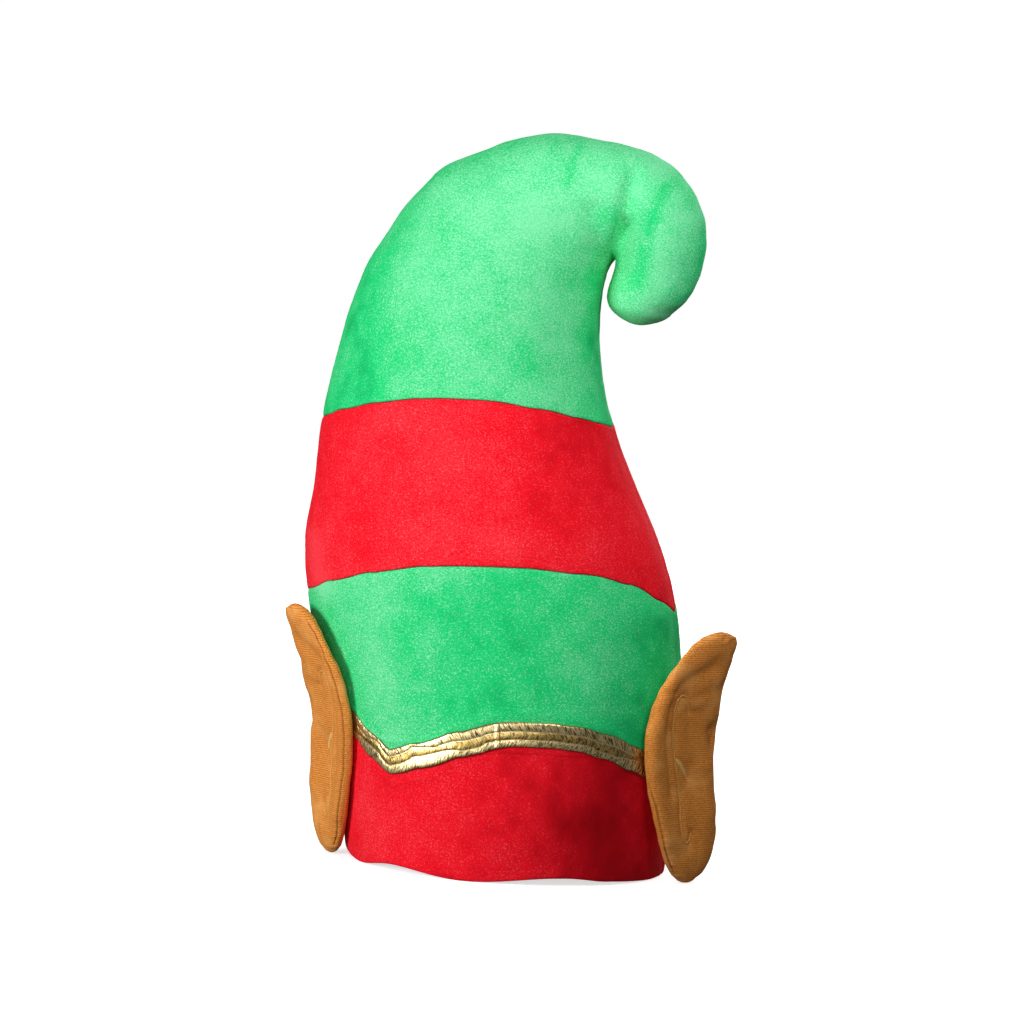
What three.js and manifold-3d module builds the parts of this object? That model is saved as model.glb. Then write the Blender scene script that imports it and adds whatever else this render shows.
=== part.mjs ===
// A tall elf hat of velour: a red brow band, a gold ribbon laid in points over its upper seam, a green
// band, a red band, and a green peak that bends over and curls down at its tip. A stuffed ear of tan
// knitted cloth is sewn to each side.
//
// Millimetres, +Z up. The hat stands on its rim on the plane Z = 0 and faces -Y, so the wearer's left
// ear is at +X. Angles round the hat start at the front and grow towards +X.
import * as THREE from "three";
import Module from "manifold-3d";

const wasm = await Module();
wasm.setup();

// Hat sizes
const rimWidth = 184; // opening from ear to ear, over the cloth
const rimDepth = 196; // opening from front to back, over the cloth
const bodyWidth = 215; // widest part of the hat, from ear to ear
const bodyDepth = 170; // front to back at the widest part
const hatHeight = 422; // rim to the top of the bent peak
const tipRound = 9.5; // length of the rounded end of the curl
const clothWall = 3; // velour on a thin foam backing
const hemWave = 4.5; // most that the hem lifts off the table between its waves
const sewnGap = 0.3; // between pieces that are sewn together

// Seams across the front and back panels
const lowerSeamHeight = 177.5; // green band to red band, at its highest
const lowerSeamDrop = 30; // how much lower it is at the sides
const upperSeamHeight = 270; // red band to green peak, at its highest
const upperSeamDrop = 22;
const seamRollWidth = 2.5; // how far from a seam the cloth starts to turn in
const seamRollDepth = 0.9; // how far it has turned in at the seam

// Gold ribbon
const ribbonWidth = 14;
const ribbonThickness = 0.8;
const ribbonCrest = 85; // height of its middle line at the upper points
const ribbonDip = 23; // how much lower the lower points are
const ribbonJoint = 2; // angle of the lapped joint, in degrees
const ribbonLap = 6; // length of the lap, in degrees
const ribbonRamp = 6; // angle over which its end climbs onto its start, in degrees
const ribbonStep = 3; // angle from one facet to the next, in degrees

// Stuffed ears
const earLength = 146;
const earWidth = 57.5;
const earThickness = 13.5;
const earHollow = 3.2; // depth of the hollow in the outer face
const earHollowPower = 4; // the higher, the wider the puffed edge round the hollow
const earSink = 2.2; // how deep the stuffing is pressed against the hat where it is sewn on
const earFoot = 0.5; // gap under the lobe

// Facets
const columns = 44; // round the hat
const bandRows = { outside: 5, inside: 3 };
const peakRows = { outside: 26, inside: 13 };
const tipRows = [0.35, 0.65, 0.87]; // where the rows of the rounded tip lie along it
const earColumns = 22; // round a section of an ear
const plugRows = 8;
const bisections = 30; // halvings when a height is looked up

// Sections through the hat from the rim to the curl, seen from the front. Each runs from its outer
// point, on the side of the back of the bend, to its inner point. X is a share of the width and Z of
// the height; depth is a share of the depth. rim says how far the row follows the size of the
// opening, 1, or the size of the body, 0.
const sections = [
  { outerX: -0.5, outerZ: 0.0, innerX: 0.5, innerZ: 0.0, depth: 1.0, rim: 1.0 },
  { outerX: -0.498, outerZ: 0.084, innerX: 0.483, innerZ: 0.084, depth: 1.04, rim: 0.6 },
  { outerX: -0.516, outerZ: 0.175, innerX: 0.47, innerZ: 0.175, depth: 1.046, rim: 0.3 },
  { outerX: -0.545, outerZ: 0.257, innerX: 0.453, innerZ: 0.257, depth: 1.031, rim: 0.1 },
  { outerX: -0.576, outerZ: 0.339, innerX: 0.426, innerZ: 0.339, depth: 1.0, rim: 0.0 },
  { outerX: -0.596, outerZ: 0.425, innerX: 0.375, innerZ: 0.427, depth: 0.953, rim: 0.0 },
  { outerX: -0.586, outerZ: 0.504, innerX: 0.287, innerZ: 0.519, depth: 0.894, rim: 0.0 },
  { outerX: -0.572, outerZ: 0.587, innerX: 0.208, innerZ: 0.613, depth: 0.835, rim: 0.0 },
  { outerX: -0.555, outerZ: 0.642, innerX: 0.18, innerZ: 0.662, depth: 0.794, rim: 0.0 },
  { outerX: -0.531, outerZ: 0.712, innerX: 0.163, innerZ: 0.712, depth: 0.753, rim: 0.0 },
  { outerX: -0.49, outerZ: 0.787, innerX: 0.158, innerZ: 0.749, depth: 0.706, rim: 0.0 },
  { outerX: -0.421, outerZ: 0.855, innerX: 0.159, innerZ: 0.784, depth: 0.653, rim: 0.0 },
  { outerX: -0.31, outerZ: 0.932, innerX: 0.167, innerZ: 0.808, depth: 0.594, rim: 0.0 },
  { outerX: -0.167, outerZ: 0.972, innerX: 0.176, innerZ: 0.821, depth: 0.535, rim: 0.0 },
  { outerX: -0.022, outerZ: 0.998, innerX: 0.185, innerZ: 0.829, depth: 0.482, rim: 0.0 },
  { outerX: 0.139, outerZ: 0.995, innerX: 0.19, innerZ: 0.832, depth: 0.435, rim: 0.0 },
  { outerX: 0.29, outerZ: 0.973, innerX: 0.193, innerZ: 0.831, depth: 0.394, rim: 0.0 },
  { outerX: 0.397, outerZ: 0.919, innerX: 0.191, innerZ: 0.825, depth: 0.359, rim: 0.0 },
  { outerX: 0.426, outerZ: 0.861, innerX: 0.185, innerZ: 0.811, depth: 0.324, rim: 0.0 },
  { outerX: 0.403, outerZ: 0.808, innerX: 0.177, innerZ: 0.79, depth: 0.294, rim: 0.0 },
  { outerX: 0.358, outerZ: 0.766, innerX: 0.174, innerZ: 0.77, depth: 0.247, rim: 0.0 },
];

// Creases in the front and back of the curl, pulled in by the stitch that holds it. Ends are shares of
// the width and height, and width and depth are shares of the body's width and depth.
const creases = [
  { fromX: 0.245, fromZ: 0.955, toX: 0.215, toZ: 0.82, width: 0.022, depth: 0.028 },
  { fromX: 0.19, fromZ: 0.835, toX: 0.235, toZ: 0.885, width: 0.018, depth: 0.03 },
  { fromX: 0.18, fromZ: 0.84, toX: 0.15, toZ: 0.9, width: 0.026, depth: 0.014 },
];

// Waves of the hem round the rim: the share of the hem's wave by which it lifts at each angle.
const hemWaves = [
  { angle: -112, lift: 0.0 },
  { angle: -82, lift: 1.0 },
  { angle: -54, lift: 0.0 },
  { angle: -33, lift: 0.75 },
  { angle: -4, lift: 0.0 },
  { angle: 30, lift: 0.95 },
  { angle: 52, lift: 0.42 },
  { angle: 78, lift: 0.0 },
  { angle: 135, lift: 0.0 },
  { angle: 180, lift: 0.0 },
  { angle: 225, lift: 0.0 },
];

// The seams of the front panel from its left edge to its right edge, as shares of their drop. The back
// panel has the same seams, mirrored.
const panelSeams = [
  { angle: -90, lower: 1.03, upper: 1.01 },
  { angle: -70, lower: 0.87, upper: 0.85 },
  { angle: -50, lower: 0.61, upper: 0.58 },
  { angle: -30, lower: 0.33, upper: 0.3 },
  { angle: -10, lower: 0.1, upper: 0.08 },
  { angle: 15, lower: 0.0, upper: 0.0 },
  { angle: 40, lower: 0.06, upper: 0.15 },
  { angle: 60, lower: 0.25, upper: 0.36 },
  { angle: 75, lower: 0.56, upper: 0.51 },
  { angle: 90, lower: 0.84, upper: 0.65 },
];

// The ribbon's middle line round the hat: rise is 1 at its front crest and 0 at its lower points, and
// the ribbon is folded to a sharp point where corner is 1.
const ribbonPoints = [
  { angle: -49, rise: 0.78, corner: 0 },
  { angle: -40, rise: 0.36, corner: 0 },
  { angle: -31, rise: 0.0, corner: 1 },
  { angle: -19, rise: 0.25, corner: 0 },
  { angle: -4, rise: 0.65, corner: 0 },
  { angle: 9, rise: 0.95, corner: 0 },
  { angle: 21, rise: 1.0, corner: 0 },
  { angle: 32, rise: 0.95, corner: 0 },
  { angle: 43, rise: 0.77, corner: 0 },
  { angle: 55, rise: 0.46, corner: 0 },
  { angle: 71, rise: 0.0, corner: 1 },
  { angle: 93, rise: 0.65, corner: 0 },
  { angle: 115, rise: 1.0, corner: 0 },
  { angle: 158, rise: 0.0, corner: 1 },
  { angle: 180, rise: 0.6, corner: 0 },
  { angle: 201, rise: 1.0, corner: 0 },
  { angle: 243, rise: 0.0, corner: 1 },
  { angle: 265, rise: 0.75, corner: 0 },
  { angle: 288, rise: 1.2, corner: 0 },
];

// An ear from the lobe to the tip: along is a share of its length, front and rear are its edges across
// it as shares of its width, bow is how far it bends away from the head as a share of its width, and
// thick is a share of its thickness, and hollow is a share of
// the depth of the hollow in its outer face.
const earSections = [
  { along: 0.012, front: 0.53, rear: 0.75, bow: 0.05, thick: 0.5, hollow: 0 },
  { along: 0.045, front: 0.42, rear: 0.87, bow: 0.05, thick: 0.85, hollow: 0 },
  { along: 0.1, front: 0.31, rear: 0.97, bow: 0.05, thick: 1.0, hollow: 0.2 },
  { along: 0.18, front: 0.22, rear: 1.04, bow: 0.04, thick: 1.05, hollow: 0.5 },
  { along: 0.28, front: 0.14, rear: 1.05, bow: 0.02, thick: 1.0, hollow: 0.8 },
  { along: 0.38, front: 0.06, rear: 1.01, bow: 0.0, thick: 1.0, hollow: 1 },
  { along: 0.48, front: 0.0, rear: 0.98, bow: 0.0, thick: 1.0, hollow: 1 },
  { along: 0.58, front: -0.03, rear: 0.99, bow: 0.0, thick: 1.0, hollow: 1 },
  { along: 0.68, front: 0.0, rear: 1.0, bow: 0.02, thick: 1.0, hollow: 1 },
  { along: 0.76, front: 0.08, rear: 0.99, bow: 0.05, thick: 0.98, hollow: 0.9 },
  { along: 0.83, front: 0.2, rear: 1.01, bow: 0.09, thick: 0.95, hollow: 0.7 },
  { along: 0.89, front: 0.33, rear: 1.03, bow: 0.11, thick: 0.9, hollow: 0.5 },
  { along: 0.94, front: 0.46, rear: 1.05, bow: 0.13, thick: 0.85, hollow: 0.2 },
  { along: 0.975, front: 0.58, rear: 1.04, bow: 0.145, thick: 0.72, hollow: 0 },
  { along: 0.993, front: 0.7, rear: 0.99, bow: 0.15, thick: 0.45, hollow: 0 },
];

// Where each ear is sewn on: the angle of its front edge round the hat, how far it is turned out from
// the cloth under it, and how far it leans out, in degrees.
const ears = [
  { name: "ear_left", side: 1, angle: 59, height: 65, flare: 3, lean: 0 },
  { name: "ear_right", side: -1, angle: 47, height: 65, flare: -10, lean: 9 },
];

const finishes = {
  greenVelour: { color: 0x1fbf5c, roughness: 0.85, metalness: 0 },
  redVelour: { color: 0xd8101f, roughness: 0.85, metalness: 0 },
  goldRibbon: { color: 0xcdb267, roughness: 0.35, metalness: 0.8 },
  tanKnit: { color: 0xb9772f, roughness: 0.95, metalness: 0 },
};

const { clamp, degToRad, lerp, radToDeg, smoothstep } = THREE.MathUtils;
const lastSection = sections.length - 1;
const tip = lastSection + 1;

// A smooth curve through a table's rows: the named column's value at a place between the rows, whose
// own places are the knots. A row whose corner is 1 keeps a sharp bend.
function smooth(rows, column, knots, place) {
  const last = rows.length - 1;
  let i = 0;
  while (i < last - 1 && place > knots[i + 1]) i += 1;
  const rise = (a, b) => (rows[b][column] - rows[a][column]) / (knots[b] - knots[a]);
  const slope = (k) => (k === 0 || k === last || rows[k].corner ? rise(i, i + 1) : rise(k - 1, k + 1));
  const span = knots[i + 1] - knots[i];
  const t = clamp((place - knots[i]) / span, 0, 1);
  const before = lerp(rows[i][column] + slope(i) * span * t, rows[i][column], t);
  const after = lerp(rows[i + 1][column], rows[i + 1][column] - slope(i + 1) * span * (1 - t), 1 - t);
  return lerp(before, after, t * t * (3 - 2 * t));
}

// The same round the hat: the table is wound on from both of its ends, so that the curve closes.
function smoothRound(rows, column, angle) {
  const turned = (turn) => rows.map((row) => ({ ...row, angle: row.angle + turn }));
  const wound = [...turned(-360), ...rows, ...turned(360)];
  return smooth(wound, column, wound.map((row) => row.angle), angle);
}

// One section of the hat at a station, counted in rows of the table. Past the last row the section
// shrinks to the rounded end of the curl.
const sectionKnots = sections.map((_, i) => i);
function sectionAt(station, inset) {
  const value = (column) => smooth(sections, column, sectionKnots, Math.min(station, lastSection));
  const width = lerp(bodyWidth, rimWidth, value("rim"));
  const depth = lerp(bodyDepth, rimDepth, value("rim"));
  const outer = new THREE.Vector2(value("outerX") * width, value("outerZ") * hatHeight);
  const inner = new THREE.Vector2(value("innerX") * width, value("innerZ") * hatHeight);
  const across = inner.clone().sub(outer).normalize();
  const onwards = new THREE.Vector2(-across.y, across.x);
  const turn = degToRad(90) * Math.max(0, station - lastSection);
  const centre = outer.clone().lerp(inner, 0.5).addScaledVector(onwards, (tipRound - inset) * Math.sin(turn));
  const halfWidth = (outer.distanceTo(inner) / 2 - inset) * Math.cos(turn);
  const halfDepth = ((value("depth") * depth) / 2 - inset) * Math.cos(turn);
  return { centre, across, halfWidth, halfDepth };
}

// How far the creases pull the cloth in at a point seen from the front.
function creaseDepth(x, z) {
  let pull = 0;
  for (const crease of creases) {
    const from = new THREE.Vector2(crease.fromX * bodyWidth, crease.fromZ * hatHeight);
    const along = new THREE.Vector2(crease.toX * bodyWidth, crease.toZ * hatHeight).sub(from);
    const point = new THREE.Vector2(x, z).sub(from);
    const share = clamp(point.dot(along) / along.lengthSq(), 0, 1);
    const off = point.addScaledVector(along, -share).length() / (crease.width * bodyWidth);
    pull += crease.depth * bodyDepth * Math.exp(-off * off);
  }
  return pull;
}

// A point of the hat's outer surface at an angle and a station, moved in by inset.
function hatPoint(angle, station, inset) {
  const { centre, across, halfWidth, halfDepth } = sectionAt(station, inset);
  const [reach, facing] = [Math.sin(degToRad(angle)), Math.cos(degToRad(angle))];
  const x = centre.x + across.x * halfWidth * reach;
  const z = centre.y + across.y * halfWidth * reach;
  const pull = Math.min(creaseDepth(x, z) * Math.abs(facing), halfDepth / 2);
  return new THREE.Vector3(x, -facing * (halfDepth - pull), z);
}

// The station at which the outer surface reaches a height at an angle, found by halving the stretch
// below the bend, where the surface only rises.
function stationAt(angle, height) {
  let [low, high] = [0, lastSection / 2];
  for (let i = 0; i < bisections; i += 1) {
    const middle = (low + high) / 2;
    if (hatPoint(angle, middle, 0).z < height) low = middle;
    else high = middle;
  }
  return (low + high) / 2;
}

// Heights of the seams, of the hem and of the ribbon's middle line at an angle.
const frontAngle = (angle) => radToDeg(Math.asin(Math.sin(degToRad(angle))));
const panelKnots = panelSeams.map((row) => row.angle);
const drop = (column, angle) => smooth(panelSeams, column, panelKnots, frontAngle(angle));
const lowerSeam = (angle) => lowerSeamHeight - lowerSeamDrop * drop("lower", angle);
const upperSeam = (angle) => upperSeamHeight - upperSeamDrop * drop("upper", angle);
const hem = (angle) => hemWave * Math.max(0, smoothRound(hemWaves, "lift", angle));
const ribbonLine = (angle) => ribbonCrest - ribbonDip * (1 - smoothRound(ribbonPoints, "rise", angle));
const above = (seam, by) => (angle) => seam(angle) + by;

// A closed mesh from rings of points. It is closed at its two end points, or where none are given,
// from the last ring back to the first.
function closedGrid(rings, ends = []) {
  const count = rings[0].length;
  const faces = [];
  for (let row = 0; row < rings.length - (ends.length ? 1 : 0); row += 1) {
    const [here, next] = [row * count, ((row + 1) % rings.length) * count];
    for (let k = 0; k < count; k += 1) {
      const beside = (k + 1) % count;
      faces.push(here + k, here + beside, next + beside, here + k, next + beside, next + k);
    }
  }
  const start = rings.length * count;
  for (let k = 0; k < count && ends.length; k += 1) {
    const beside = (k + 1) % count;
    faces.push(start, beside, k, start + 1, start - count + k, start - count + beside);
  }
  const geometry = new THREE.BufferGeometry().setFromPoints([...rings.flat(), ...ends]);
  geometry.setIndex(faces);
  return geometry;
}

// Rings round the hat in equal turns: stations holds one station for each turn.
const turns = (count) => Array.from({ length: count }, (_, k) => (360 * k) / count);
const stationsAt = (height, count = columns) => turns(count).map((angle) => stationAt(angle, height(angle)));
const hatRing = (stations, inset) =>
  turns(stations.length).map((angle, k) => hatPoint(angle, stations[k], inset));
function hatRings(from, to, steps, inset) {
  const ring = (i) => hatRing(from.map((station, k) => lerp(station, to[k], i / steps)), inset);
  return Array.from({ length: steps + 1 }, (_, i) => ring(i));
}

// A band of cloth round the hat, turned in at its two seams.
function bandGeometry(bottom, top) {
  const [low, high] = [stationsAt(bottom), stationsAt(top)];
  const lowRoll = stationsAt(above(bottom, seamRollWidth));
  const highRoll = stationsAt(above(top, -seamRollWidth));
  const outside = hatRings(lowRoll, highRoll, bandRows.outside, 0);
  const inside = hatRings(high, low, bandRows.inside, clothWall);
  return closedGrid([hatRing(low, seamRollDepth), ...outside, hatRing(high, seamRollDepth), ...inside]);
}

// The peak is open at its seam and closed at the tip of its curl.
function peakGeometry(bottom) {
  const low = stationsAt(bottom);
  const lowRoll = stationsAt(above(bottom, seamRollWidth));
  const allAt = (station) => low.map(() => station);
  const bend = allAt(lastSection);
  const tipRings = (inset) => tipRows.map((share) => hatRing(allAt(lastSection + share), inset));
  const inside = [...hatRings(low, bend, peakRows.inside, clothWall), ...tipRings(clothWall)];
  const outside = [...hatRings(lowRoll, bend, peakRows.outside, 0), ...tipRings(0)];
  const rings = [...inside.reverse(), hatRing(low, seamRollDepth), ...outside];
  return closedGrid(rings, [hatPoint(0, tip, clothWall), hatPoint(0, tip, 0)]);
}

// Half of the ribbon's height on the hat, which is more than half its width where it slants.
const ribbonPoint = (angle) => hatPoint(angle, stationAt(angle, ribbonLine(angle)), 0);
function ribbonHalf(angle) {
  const run = ribbonPoint(angle + ribbonStep).sub(ribbonPoint(angle - ribbonStep));
  return (ribbonWidth / 2) * (run.length() / Math.hypot(run.x, run.y));
}

// The ribbon goes once round over the seam, and its end is lapped over its start.
function ribbonGeometry() {
  const rings = [];
  const end = ribbonJoint + 360;
  for (let angle = ribbonJoint; angle <= end + ribbonLap; angle += ribbonStep) {
    const half = ribbonHalf(angle);
    const lap = smoothstep(angle, end - ribbonStep - ribbonRamp, end - ribbonStep);
    const under = sewnGap + lap * (ribbonThickness + sewnGap);
    const over = under + ribbonThickness;
    const corner = (side, out) => {
      const station = stationAt(angle, ribbonLine(angle) + side * half);
      return hatPoint(angle, station, -out);
    };
    rings.push([corner(-1, under), corner(1, under), corner(1, over), corner(-1, over)]);
  }
  return closedGrid(rings, [middleOf(rings[0]), middleOf(rings.at(-1))]);
}

function middleOf(points) {
  const sum = points.reduce((total, point) => total.add(point), new THREE.Vector3());
  return sum.divideScalar(points.length);
}

// The directions of an ear at the place where it is sewn on: across runs from its front edge to its
// rear edge, up to its tip, and out away from the hat.
function earAxes(ear) {
  const place = (angle) => hatPoint(angle, stationAt(angle, ear.height), 0);
  const across = place(ear.side * (ear.angle + 1)).sub(place(ear.side * (ear.angle - 1))).setZ(0).normalize();
  const upright = new THREE.Vector3(0, 0, 1);
  across.applyAxisAngle(upright, -ear.side * degToRad(ear.flare));
  const up = upright.clone().applyAxisAngle(across, ear.side * degToRad(ear.lean));
  const out = across.clone().cross(up).multiplyScalar(ear.side);
  const base = place(ear.side * ear.angle).addScaledVector(out, earThickness / 2 - earSink);
  base.addScaledVector(up, -ear.height);
  return { base, across, up, out };
}

// One section of an ear, round from its rear edge. Only the half that faces out has the hollow.
function earRing(ear, row, { base, across, up, out }) {
  const middle = ((row.front + row.rear) / 2) * earWidth;
  const half = ((row.rear - row.front) / 2) * earWidth;
  return Array.from({ length: earColumns }, (_, k) => {
    const turn = (2 * Math.PI * k) / earColumns;
    const facing = -ear.side * Math.sin(turn);
    const hollow = earHollow * row.hollow * Math.max(0, facing) ** earHollowPower;
    return base
      .clone()
      .addScaledVector(across, middle + half * Math.cos(turn))
      .addScaledVector(up, row.along * earLength)
      .addScaledVector(out, row.bow * earWidth + (row.thick * earThickness * facing) / 2 - hollow);
  });
}

// A stuffed ear from its lobe, just clear of the table, to its tip.
function earGeometry(ear) {
  const axes = earAxes(ear);
  const rings = earSections.map((row) => earRing(ear, row, axes));
  const geometry = closedGrid(rings, [middleOf(rings[0]), middleOf(rings.at(-1))]);
  geometry.computeBoundingBox();
  return geometry.translate(0, 0, earFoot - geometry.boundingBox.min.z);
}

// A solid plug of the hat's outline between two heights, grown by a clearance. It cuts the ears.
function plugGeometry(bottom, top, grown, count) {
  const rings = hatRings(stationsAt(bottom, count), stationsAt(top, count), plugRows, -grown);
  return closedGrid(rings, [middleOf(rings[0]), middleOf(rings.at(-1))]);
}

function solidOf(geometry) {
  const vertProperties = geometry.attributes.position.array;
  const triVerts = Uint32Array.from(geometry.index.array);
  return new wasm.Manifold(new wasm.Mesh({ numProp: 3, vertProperties, triVerts }));
}

function geometryOf(solid) {
  const { vertProperties, triVerts } = solid.getMesh();
  const geometry = new THREE.BufferGeometry();
  geometry.setAttribute("position", new THREE.BufferAttribute(Float32Array.from(vertProperties), 3));
  geometry.setIndex(Array.from(triVerts));
  return geometry;
}

function piece(name, geometry, finish) {
  const mesh = new THREE.Mesh(geometry, new THREE.MeshStandardMaterial(finish));
  mesh.name = name;
  return mesh;
}

// The stripes, from the rim up, meet at their seams.
const seams = [ribbonLine, lowerSeam, upperSeam];
const [belowSeam, aboveSeam] = [-sewnGap / 2, sewnGap / 2].map((by) => seams.map((seam) => above(seam, by)));
const hat = new THREE.Group();
hat.add(piece("brow_band", bandGeometry(hem, belowSeam[0]), finishes.redVelour));
hat.add(piece("green_band", bandGeometry(aboveSeam[0], belowSeam[1]), finishes.greenVelour));
hat.add(piece("red_band", bandGeometry(aboveSeam[1], belowSeam[2]), finishes.redVelour));
hat.add(piece("green_peak", peakGeometry(aboveSeam[2]), finishes.greenVelour));
hat.add(piece("gold_trim", ribbonGeometry(), finishes.goldRibbon));

// The ears are pressed against the hat and its ribbon, and keep the sewn gap to both.
const ribbonEdge = (side) => (angle) => ribbonLine(angle) + side * (ribbonHalf(angle) + sewnGap);
const ribbonReach = ribbonThickness + 2 * sewnGap;
const hatPlug = solidOf(plugGeometry(() => 0, lowerSeam, sewnGap, columns));
const ribbonPlug = solidOf(plugGeometry(ribbonEdge(-1), ribbonEdge(1), ribbonReach, 360 / ribbonStep));
for (const ear of ears) {
  const seated = solidOf(earGeometry(ear)).subtract(hatPlug).subtract(ribbonPlug);
  hat.add(piece(ear.name, geometryOf(seated), finishes.tanKnit));
}

// The origin is on the table, under the middle of the hat with its ears.
const box = new THREE.Box3().setFromObject(hat);
hat.position.set(-(box.min.x + box.max.x) / 2, -(box.min.y + box.max.y) / 2, -box.min.z);

export default hat;
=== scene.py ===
"""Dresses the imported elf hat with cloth, ribbon and stitching, and sets it in a plain pale studio.

Metres, +Z up. The hat stands on its rim on the plane Z = 0 and faces -Y, so the wearer's left ear is at
+X. Angles round the hat start at the front and grow towards +X, in degrees. Every piece follows the same
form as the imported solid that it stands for, with the cloth's own relief on it.
"""

import logging
import math
from collections.abc import Callable
from dataclasses import dataclass
from enum import Enum
from typing import Protocol

import bpy
import numpy as np
from mathutils import Matrix, Quaternion, Vector


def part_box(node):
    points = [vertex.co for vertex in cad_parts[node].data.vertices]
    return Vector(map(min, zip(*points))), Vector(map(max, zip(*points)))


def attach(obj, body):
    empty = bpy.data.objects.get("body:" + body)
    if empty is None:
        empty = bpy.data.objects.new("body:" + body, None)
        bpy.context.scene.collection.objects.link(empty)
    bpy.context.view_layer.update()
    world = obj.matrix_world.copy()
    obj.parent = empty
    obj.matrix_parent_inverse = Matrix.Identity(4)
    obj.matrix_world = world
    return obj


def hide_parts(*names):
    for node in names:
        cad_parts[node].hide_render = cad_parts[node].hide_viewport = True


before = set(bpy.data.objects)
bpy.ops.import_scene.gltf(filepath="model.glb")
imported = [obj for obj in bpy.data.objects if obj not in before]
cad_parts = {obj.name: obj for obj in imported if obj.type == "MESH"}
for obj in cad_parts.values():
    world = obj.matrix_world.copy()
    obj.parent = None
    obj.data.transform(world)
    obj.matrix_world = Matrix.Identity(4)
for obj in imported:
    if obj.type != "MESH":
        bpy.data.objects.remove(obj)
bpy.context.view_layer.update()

MM = 0.001
log = logging.getLogger("elf_hat")

Heights = Callable[[np.ndarray], np.ndarray]


class Slot(Enum):
    """The record's material slots."""

    RED_VELOUR = "red_velour"
    GREEN_VELOUR = "green_velour"
    GOLD_RIBBON = "gold_ribbon"
    TAN_KNIT = "tan_knit"


class ShareTable:
    """A short table of shares with named columns, read along a smooth curve through its rows."""

    def __init__(self, columns: str, *rows: tuple[float, ...], closed: bool = False) -> None:
        """Keeps the rows and the places at which they stand.

        Args:
            columns: The columns' names. The first is the place, unless it is "row", which is counted.
            rows: One tuple of values for each row.
            closed: Whether the places are angles that go once round, so that the curve closes.
        """
        self.columns = columns.split()
        table = np.array(rows, float)
        if self.columns[0] == "row":
            table = np.column_stack([np.arange(len(rows)), table])
        if closed:
            turn = np.zeros(len(self.columns))
            turn[0] = 360
            table = np.concatenate([table - turn, table, table + turn])
        self.table = table
        self.knots = table[:, 0]
        corner = table[:, self.columns.index("corner")] if "corner" in self.columns else self.knots * 0
        self.sharp = corner > 0.5
        self.sharp[[0, -1]] = True

    def at(self, column: str, place: np.ndarray | float) -> np.ndarray:
        """Reads a column between the rows.

        Args:
            column: The column's name.
            place: Where to read it.

        Returns:
            The column's values at those places.
        """
        values = self.table[:, self.columns.index(column)]
        steps = np.diff(values) / np.diff(self.knots)
        across = np.pad((values[2:] - values[:-2]) / (self.knots[2:] - self.knots[:-2]), 1)
        i = np.searchsorted(self.knots[1:-1], place, side="left")
        span = self.knots[i + 1] - self.knots[i]
        t = np.clip((place - self.knots[i]) / span, 0, 1)
        leaving = np.where(self.sharp[i], steps[i], across[i])
        arriving = np.where(self.sharp[i + 1], steps[i], across[i + 1])
        before = values[i] + leaving * span * t * (1 - t)
        after = values[i + 1] - arriving * span * (1 - t) ** 2
        return before + (after - before) * t * t * (3 - 2 * t)


# Sections through the hat from the rim to the curl, seen from the front, from the outer point on the side
# of the back of the bend to the inner point. rim is 1 where a row follows the opening's size.
SECTIONS = ShareTable(
    "row outer_x outer_z inner_x inner_z depth rim",
    (-0.5, 0.0, 0.5, 0.0, 1.0, 1.0),
    (-0.498, 0.084, 0.483, 0.084, 1.04, 0.6),
    (-0.516, 0.175, 0.47, 0.175, 1.046, 0.3),
    (-0.545, 0.257, 0.453, 0.257, 1.031, 0.1),
    (-0.576, 0.339, 0.426, 0.339, 1.0, 0.0),
    (-0.596, 0.425, 0.375, 0.427, 0.953, 0.0),
    (-0.586, 0.504, 0.287, 0.519, 0.894, 0.0),
    (-0.572, 0.587, 0.208, 0.613, 0.835, 0.0),
    (-0.555, 0.642, 0.18, 0.662, 0.794, 0.0),
    (-0.531, 0.712, 0.163, 0.712, 0.753, 0.0),
    (-0.49, 0.787, 0.158, 0.749, 0.706, 0.0),
    (-0.421, 0.855, 0.159, 0.784, 0.653, 0.0),
    (-0.31, 0.932, 0.167, 0.808, 0.594, 0.0),
    (-0.167, 0.972, 0.176, 0.821, 0.535, 0.0),
    (-0.022, 0.998, 0.185, 0.829, 0.482, 0.0),
    (0.139, 0.995, 0.19, 0.832, 0.435, 0.0),
    (0.23, 0.988, 0.192, 0.832, 0.413, 0.0),
    (0.313, 0.969, 0.193, 0.831, 0.394, 0.0),
    (0.377, 0.94, 0.192, 0.829, 0.377, 0.0),
    (0.416, 0.904, 0.191, 0.825, 0.359, 0.0),
    (0.43, 0.866, 0.189, 0.819, 0.34, 0.0),
    (0.424, 0.83, 0.184, 0.809, 0.315, 0.0),
    (0.41, 0.804, 0.178, 0.796, 0.3, 0.0),
    (0.388, 0.783, 0.175, 0.783, 0.28, 0.0),
    (0.352, 0.765, 0.178, 0.774, 0.25, 0.0),
)

# Creases of the curl, as shares of the width, height and depth.
CREASES = ShareTable(
    "row from_x from_z to_x to_z width depth",
    (0.245, 0.955, 0.215, 0.82, 0.022, 0.028),
    (0.19, 0.835, 0.235, 0.885, 0.018, 0.03),
    (0.18, 0.84, 0.15, 0.9, 0.026, 0.014),
)

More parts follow.
